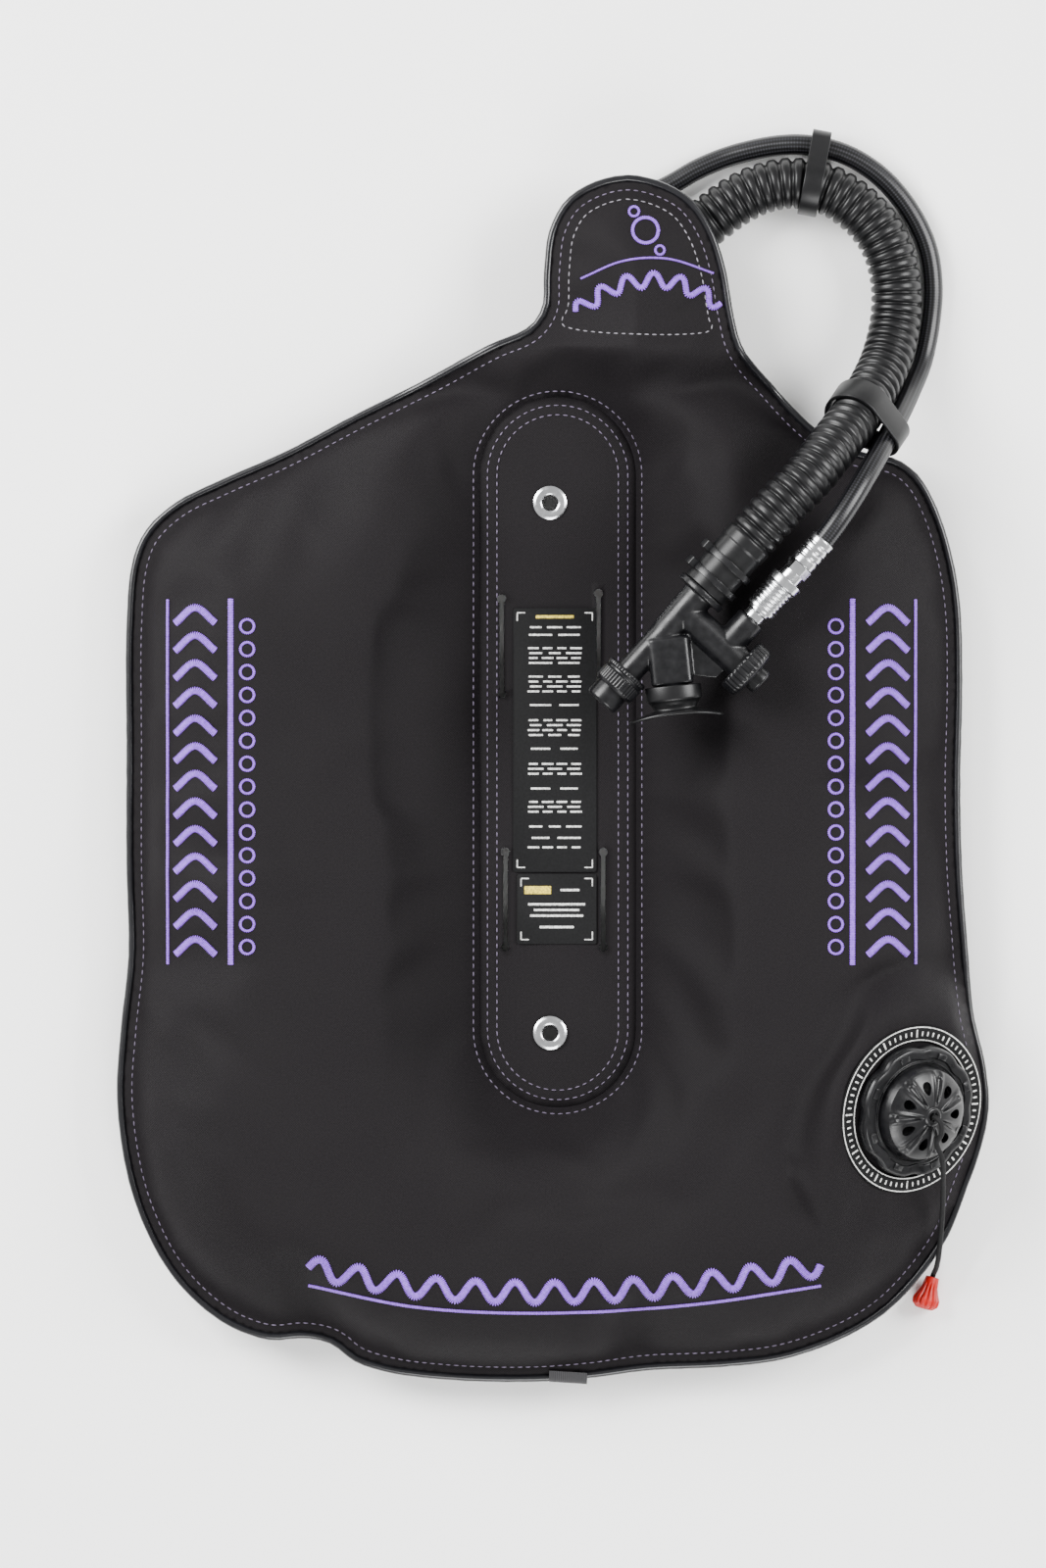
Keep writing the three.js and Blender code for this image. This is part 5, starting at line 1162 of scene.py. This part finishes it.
def moulded(name, parts, voxel, rounds, finish):
    """Shapes fused into one moulding, with the soft inner corners of a mould. voxel is in millimetres."""
    made = solid(name + "_cage", parts, finish)
    fused = made.modifiers.new("fused", "REMESH")
    fused.mode = "VOXEL"
    fused.voxel_size = voxel * MM
    softened = made.modifiers.new("softened", "SMOOTH")
    softened.factor = 0.5
    softened.iterations = rounds
    return baked(name, made, finish)


AT_PORT = Matrix.Translation((*ELBOW, 0))
AT_SPOUT = Matrix.Translation((*ELBOW, SPOUT_Z)) @ Matrix.Rotation(SPOUT_HEADING, 4, "Z") @ TO_X
lathed("port_gasket_rubber", "port_gasket", hose_rubber, "rubber", "root",
       [(14.3, 36.65), (23, 36.65), (23, 38.05), (14.3, 38.05)], AT_PORT)


def gripped(count, depth):
    """Cuts finger flats round the rim of a turned piece."""
    def shape(x, y, z, angle):
        radius = np.hypot(x, y)
        return pared(x, y, z, depth * (0.5 + 0.5 * np.cos(count * angle)) ** 3 * (radius > 0.8 * radius.max()))
    return shape


lathed("port_nut", "port_ring", acetal, "plastic", "root",
       [(14.3, 32.35), (22, 32.35), (22, 36.35), (14.3, 36.35)], AT_PORT, 0.6, 120, gripped(10, 1.6))
elbow_parts = [turned([(0, 1.2), (8.6, 1.2), (13.6, 6), (13.6, 32.0), (0, 32.0)], AT_PORT, 2.0, 64),
               turned([(0, 28), (10.2, 28), (10.2, 41.2), (0, 41.2)], AT_PORT, 0.3, 64),
               turned([(0, 2), (11.2, 2), (11.2, 16.2), (9.7, 16.2), (9.7, 32), (8.6, 36), (0, 36)], AT_SPOUT, 0.4, 64)]
declared(moulded("elbow_moulding", elbow_parts, 0.7, 4, acetal), "plastic", "hose", "elbow")


def tie(name, place, lock_angle, node):
    """A ribbed nylon cable tie with its lock."""
    def toothed(x, y, z, angle):
        return pared(x, y, z, 0.15 * (np.cos(90 * angle) > 0) * (np.hypot(x, y) > 14.6))
    band = turned([(13.85, -1.8), (15.1, -1.8), (15.1, 1.8), (13.85, 1.8)], place, 0.25, 180, toothed)
    at_lock = place @ Matrix.Rotation(lock_angle, 4, "Z") @ Matrix.Translation((16.4, 0, 0))
    lock = plate((0, 0), (4.8, 5.6), -2.4, 2.4, 0.9, at_lock)
    declared(solid(name, [band, lock], acetal), "plastic", "hose", node)


tie("elbow_cable_tie", AT_SPOUT @ Matrix.Translation((0, 0, 25.8)), math.pi, "elbow_tie")
for name, along in (("cuff_tie_front", -10), ("cuff_tie_rear", -21.5)):
    tie(name + "_strap", INFLATOR @ Matrix.Translation((along, 0, 0)) @ TO_X, -math.pi / 2 - 0.5, name)

# ---------------------------------------------------------------- power inflator
# One satin acetal moulding with a barrel in the hose's cuff, a branch that holds the inflate valve, a boss for the
# supply coupling and a square stem for the mouthpiece. Its caps screw on, and its buttons work against springs.
MOUTH_TURN = math.radians(48.5)
MOUTH_X = 25.3
BRANCH_X = 12.5
BOSS_Y, BOSS_END = 28.8, -8.6
ON_BARREL = INFLATOR @ TO_X
ON_BRANCH = INFLATOR @ Matrix.Translation((BRANCH_X, 0, 0)) @ TO_Y
ON_BOSS = INFLATOR @ Matrix.Translation((0, BOSS_Y, 0)) @ TO_X
ON_COUPLING = INFLATOR @ Matrix.Translation((BOSS_END, BOSS_Y, 0)) @ Matrix.Rotation(-math.pi / 2, 4, "Y")
ON_MOUTH = INFLATOR @ Matrix.Translation((MOUTH_X, 0, 0)) @ Matrix.Rotation(MOUTH_TURN, 4, "Z") @ TO_X
HALF_WEB = 1.6

web_plan = [(BRANCH_X, 3), (MOUTH_X + 6, 3), (37, 18), (36, 23), (BRANCH_X + 14, 36), (BRANCH_X, 37)]
web_points = [(*INFLATOR @ Vector((x, y, z)),) for z in (-HALF_WEB, HALF_WEB) for x, y in web_plan]
n = len(web_plan)
web_faces = [tuple(range(n))[::-1], tuple(range(n, 2 * n)), *strips(2, n)]
inflator_parts = [
    turned([(0, -30), (8.6, -30), (9.7, -26), (9.7, -3), (14.2, -3), (14.2, 0.6), (8.9, 0.6), (7.9, 25.5),
            (7.3, 29.5), (7.3, 60), (0, 60)], ON_BARREL, 0.5, 64),
    plate((0, 0), (16, 22), 4, 29, 3.2, ON_MOUTH),
    turned([(0, 26), (7.5, 26), (7.5, 36), (0, 36)], ON_MOUTH, 0.3, 48),
    turned([(0, -8.4), (5, -7.2), (8.0, -3), (8.5, 2), (8.5, 43), (0, 43)], ON_BRANCH, 1.2, 64),
    turned([(0, BOSS_END), (8, BOSS_END), (8, 8.5), (0, 8.5)], ON_BOSS, 0.7, 64),
    (web_points, web_faces),
]
declared(moulded("inflator_moulding", inflator_parts, 0.6, 3, acetal), "plastic", "hose", "inflator_body")


STEM_OVAL, LIP_OVAL = 1.38, 1.85   # how much wider than deep


def crescent(x, y, z, angle):
    """Widens a turned shape into an oval and bends its flange towards the mouth."""
    swell = smoothstep(z, 41.5, 44.5)
    wide = STEM_OVAL + (LIP_OVAL - STEM_OVAL) * swell
    lean = 0.0045 * (y * wide) ** 2 * swell
    return x, y * wide, z + lean - 1.4 * swell


mouth = turned([(7.9, 29.3), (10.6, 29.3), (10.6, 36.6), (9.2, 38.2), (8.1, 41.2), (8.6, 43.2), (13.4, 44.6),
                (13.5, 46.1), (6.2, 46.3), (5.0, 45.4), (4.8, 36.6), (7.9, 36.4)], ON_MOUTH, 0.7, 96, crescent)
declared(solid("mouthpiece_silicone", [mouth], hose_rubber, 60), "rubber", "hose", "mouthpiece")


def ribbed(count, depth, least):
    """Fine ribs round the parts of a turned piece that are wider than least."""
    def shape(x, y, z, angle):
        return pared(x, y, z, depth * np.abs(np.cos(count * angle / 2)) ** 6 * (np.hypot(x, y) > least))
    return shape


lathed("deflate_cap_moulding", "deflate_cap", acetal, "plastic", "hose", [
    (7.6, 54.8), (11.2, 54.8), (12, 55.6), (12, 57.2), (11.2, 57.7), (11.2, 59.0), (12, 59.5), (12, 65.6), (11, 67.4),
    (9.5, 67.4), (9.5, 61), (7.6, 61)], ON_BARREL, 0.35, 144, ribbed(36, 0.4, 11.9))
lathed("deflate_push_button", "deflate_button", acetal, "plastic", "deflate_button", [
    (0, 66.8), (7.4, 66.8), (9.2, 66.8), (9.2, 75.4), (8.2, 76.7), (5.4, 76.4), (4.6, 75.9), (0, 75.7)],
    ON_BARREL, 0.5, 72)
lathed("inflate_cap_moulding", "inflate_cap", acetal, "plastic", "hose", [
    (8.8, 39.9), (13.6, 39.9), (15, 41), (15, 47.2), (14.2, 49), (11.4, 50.2), (7.4, 50.2), (7.4, 46), (8.8, 46)],
    ON_BRANCH, 0.5, 144, ribbed(30, 0.7, 14.6))
lathed("inflate_push_button", "inflate_button", acetal, "plastic", "inflate_button", [
    (0, 48.9), (7.1, 48.9), (7.1, 54.6), (6.1, 55.7), (3.9, 55.4), (3.4, 55.0), (0, 54.9)], ON_BRANCH, 0.4, 72)

# ---------------------------------------------------------------- supply coupling
# A chrome quick coupling: its ribbed sleeve slides back to let go of the nipple. The hose is crimped in a ferrule.
lathed("nipple_turned", "lp_nipple", nickel, "nickel", "hose", [
    (1.6, -6.5), (4, -6.5), (4, 0.3), (5.5, 0.3), (5.5, 4.4), (4.1, 4.4), (4.1, 15), (1.6, 15)], ON_COUPLING, 0.2, 48)


def hexed(low, high, flat):
    """Turns a band of a round bar into a hexagon, flat to flat."""
    def shape(x, y, z, angle):
        radius = np.hypot(x, y)
        corner = flat / np.cos((angle + math.pi / 6) % (math.pi / 3) - math.pi / 6)
        return pared(x, y, z, np.maximum(radius - corner, 0) * ((z > low) & (z < high) & (radius > flat * 0.85)))
    return shape


lathed("coupling_barrel", "coupler_body", nickel, "nickel", "hose", [
    (4.4, 4.9), (6.3, 4.9), (6.3, 12), (5.1, 12), (5.1, 24), (6.3, 24), (6.3, 33), (7.2, 33), (7.2, 38.4), (2.2, 38.4),
    (2.2, 16), (4.4, 16)], ON_COUPLING, 0.25, 96, hexed(32.9, 38.5, 6.25))
grooves = [(r, z + d) for z in np.arange(7.6, 21.5, 2.3) for r, d in ((8.2, 0), (8.2, 1.3), (7.5, 1.5), (7.5, 2.1))]
lathed("coupling_sleeve", "coupler_sleeve", nickel, "nickel", "coupler_sleeve", [
    (6.6, 6.4), (8.0, 6.4), *grooves, (8.2, 22.8), (9.2, 23.5), (9.2, 28), (6.6, 28)], ON_COUPLING, 0.3, 96)
crimps = [(r, z + d) for z in (42.5, 46.5, 50.5) for r, d in ((7, 0), (6.55, 0.5), (6.55, 1.4), (7, 1.9))]
lathed("supply_ferrule", "lp_ferrule", nickel, "nickel", "hose", [
    (6.05, 38.7), (7, 38.7), *crimps, (7, 55.2), (6.6, 56), (6.05, 56)], ON_COUPLING, 0.25, 72)

AT_TAIL = Matrix.Translation(TAIL_END) @ Matrix.Rotation(-math.pi / 2, 4, "Z") @ TO_X
lathed("regulator_ferrule", "lp_end_ferrule", nickel, "nickel", "root", [
    (6.05, -13), (6.7, -13), (7, -12.4), (7, -9), (6.6, -8.6), (6.6, -7.4), (7, -7), (7, -1), (6.05, -1)],
    AT_TAIL, 0.25, 72)
threads = [(r, z) for z in np.arange(15.4, 21.4, 1.2) for r, z in ((4.7, z), (4.3, z + 0.6))]
lathed("regulator_fitting", "lp_end_fitting", nickel, "nickel", "root", [
    (1.6, 0.3), (6.9, 0.3), (6.9, 10), (4, 10), (4, 13), (3.3, 13), (3.3, 15), (4.7, 15), *threads, (4.7, 22),
    (1.6, 22)], AT_TAIL, 0.2, 96, hexed(0.2, 10.1, 6.2))

# ---------------------------------------------------------------- hose keepers
# Two bands cut from soft black rubber hold the supply hose against the big one.
KEEPER_SLACK, KEEPER_WALL = 1.2, 1.8


def keeper(name, share, width, node):
    """A band round both hoses where the big one has covered a share of its length."""
    along = distances(hose_path)
    here = int(np.searchsorted(along, share * along[-1]))
    centre = hose_path[here]
    forward = hose_path[here + 1] - hose_path[here - 1]
    forward /= np.linalg.norm(forward)
    reach = np.linalg.norm(supply_path - centre, axis=1)
    offset = np.abs((supply_path - centre) @ forward) + 1e3 * (reach > 3 * HOSE_RADIUS)
    aside = supply_path[int(offset.argmin())] - centre
    spacing = float(np.linalg.norm(aside))
    aside = aside - forward * (aside @ forward)
    aside /= np.linalg.norm(aside)
    up = np.cross(forward, aside)
    lean = math.acos((HOSE_RADIUS - SUPPLY_RADIUS) / spacing)
    turns = [(0, HOSE_RADIUS + KEEPER_SLACK, t) for t in np.linspace(lean, 2 * math.pi - lean, 40)]
    turns += [(spacing, SUPPLY_RADIUS + KEEPER_SLACK, t) for t in np.linspace(-lean, lean, 22)]
    half = width / 2
    section = eased([(0, -half), (KEEPER_WALL, -half), (KEEPER_WALL, half), (0, half)], 0.45, True)
    points = [centre + aside * (x + (r + out) * math.cos(t)) + up * (r + out) * math.sin(t) + forward * along_it
              for x, r, t in turns for out, along_it in section]
    n, rows = len(section), len(turns)
    faces = [(i * n + k, (i + 1) % rows * n + k, (i + 1) % rows * n + (k + 1) % n, i * n + (k + 1) % n)
             for i in range(rows) for k in range(n)]
    return declared(solid(name, [(points, faces)], hose_rubber, 50), "rubber", "hose", node)


upper_keeper = keeper("keeper_band_upper", 0.215, 10, "hose_keeper_upper")
lower_keeper = keeper("keeper_band_lower", 0.64, 15, "hose_keeper_lower")

# ---------------------------------------------------------------- dump valve
# The over-pressure valve: a moulded body screwed through the cover, a domed cap with seven vents and a raised petal
# round each, and a printed rubber ring under it. Pulling the cord lifts the poppet inside.
PETALS = 7
CLIPS = 8
RING_TICKS = 72
lathed("valve_body_moulding", "valve_body", acetal, "plastic", "root", [
    (20.3, 1.8), (35.3, 1.8), (35.3, 6.6), (34.3, 8.1), (33, 8.4), (29.6, 8.4), (29.2, 7.4), (27.2, 7.4), (27, 8.2),
    (26.5, 8.2), (26.5, 7.4), (20.3, 7.4)], VALVE, 0.35, 192, gripped(8, 1.5))


def round_valve(turn, radius):
    """The place at an angle round the valve and a distance from its axis."""
    return VALVE @ Matrix.Rotation(turn, 4, "Z") @ Matrix.Translation((radius, 0, 0))


clips = [plate((0, 0), (3.2, 5.4), 7.3, 9.3, 0.6, round_valve(2 * math.pi * (k + 0.5) / CLIPS, 31))
         for k in range(CLIPS)]
declared(solid("valve_clips", clips, acetal), "plastic", "root")


def petalled(x, y, z, angle):
    """Raises a rounded rim between the vents and a lip round each petal."""
    radius = np.hypot(x, y)
    beside = np.abs(np.cos(PETALS * angle / 2))
    band = smoothstep(radius, 5, 9) * (1 - smoothstep(radius, 22.5, 25))
    lip = np.exp(-((beside - 0.42) / 0.16) ** 2)
    edge = np.exp(-((radius - 21.3) / 1.1) ** 2) * (1 - smoothstep(beside, 0.25, 0.4))
    dish = (1 - smoothstep(beside, 0.1, 0.4)) * 0.6
    top = z > 7.9
    return x, y, z + top * (band * (0.75 * lip - dish) + 0.7 * edge)


dome_line = [(2.6, DOME_TOP - 2.2), (10, DOME_TOP - 3.0), (17.8, 15.4), (22.5, 11.6), (23.5, 7.7), (25.5, 7.7),
             (25.3, 9.4), (24.9, 11.2)]
dome_line += [(r, 12.2 + 8.6 * (1 - (r / 25.2) ** 2) ** 0.62 * 0.98) for r in np.arange(24, 4.5, -1.0)]
dome_line += [(4.4, DOME_TOP - 0.2), (3.9, DOME_TOP), (2.6, DOME_TOP)]
dome = solid("dome_cage", [turned(dome_line, VALVE, 0.2, 210, petalled)], acetal)
pear = lambda x, y, z, angle: (x * 1.15 + 0.8, y * (0.78 + 0.09 * x), z)
vent_line = [(0, 5), (3.1, 5), (3.1, 26), (0, 26)]
vent_cutters = [turned(vent_line, round_valve(2 * math.pi * k / PETALS, 14.5), 0.1, 28, pear) for k in range(PETALS)]
cutter = solid("vent_cutters", vent_cutters, acetal)
cut = dome.modifiers.new("vents", "BOOLEAN")
cut.object = cutter
cut.operation = "DIFFERENCE"
cut.solver = "EXACT"
dome = baked("valve_dome_moulding", dome, acetal)
bpy.data.objects.remove(cutter)
dome.data.set_sharp_from_angle(angle=math.radians(38))
declared(dome, "plastic", "root", "valve_dome")

lathed("badge_ring_rubber", "badge_ring", label_vinyl, "rubber", "root",
       [(36.3, 0.3), (45, 0.3), (45, 1.3), (36.3, 1.3)], VALVE, 0.3, 128)
PRINT_LOW, PRINT_TOP = 1.2, 1.42
ring_print = [turned([(r, PRINT_LOW), (r + 0.6, PRINT_LOW), (r + 0.6, PRINT_TOP), (r, PRINT_TOP)], VALVE, 0.05, 128)
              for r in (36.9, 43.8)]
for k in range(RING_TICKS):
    tick = (4.2 if k % 6 == 0 else 2.4, 0.9)
    here = round_valve(2 * math.pi * k / RING_TICKS, 40.6)
    ring_print.append(plate((0, 0), tick, PRINT_LOW, PRINT_TOP, 0.2, here, 2))
declared(solid("ring_print", ring_print, pale_ink), "label", "root")

# The knob is a bell of red nylon with finger flutes.
knob_red = mottled("moulded_red_nylon", 4, 3.0, ("#8c0805", "#b8150d"), Roughness=0.42, Specular_IOR_Level=0.35)
ON_KNOB = Matrix.Translation(KNOB) @ Matrix.Rotation(KNOB_HEADING, 4, "Z") @ TO_X
knob = lathed("pull_knob_bell", "pull_knob", knob_red, "red", "pull_knob", [
    (0, 3.6), (2.0, 3.6), (2.0, 0), (3.6, 0), (3.9, 2.5), (4.3, 5.5), (5.6, 8.6), (7.3, 12), (7.3, 13.6), (6.9, 15.4),
    (4.4, 17.4), (0, 17.4)], ON_KNOB, 0.6, 120, ribbed(12, 0.9, 4.1))

# ---------------------------------------------------------------- pieces inside
# Springs, stems, seals and the sockets behind the cloth keep their shapes and get the finish of the real ones.
drawn_wire = mottled("drawn_stainless_wire", 0.8, 3.0, rough=(0.2, 0.38), Base_Color=linear("#b4b6b9"), Metallic=1.0)
INSIDE = {
    drawn_wire: ["deflate_stem", "deflate_spring", "inflate_stem", "inflate_spring", "coupler_spring", "valve_spring"],
    hose_rubber: ["elbow_o_ring", "deflate_seal", "lp_o_ring", "valve_gasket", "valve_seal"],
    acetal: ["port_flange", "valve_base", "valve_poppet"],
    nickel: ["inflate_seat"],
}
for finish, nodes in INSIDE.items():
    for node in nodes:
        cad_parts[node].material_slots[0].material = finish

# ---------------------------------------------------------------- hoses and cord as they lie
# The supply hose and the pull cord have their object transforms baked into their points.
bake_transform(supply_hose)
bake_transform(pull_cord)
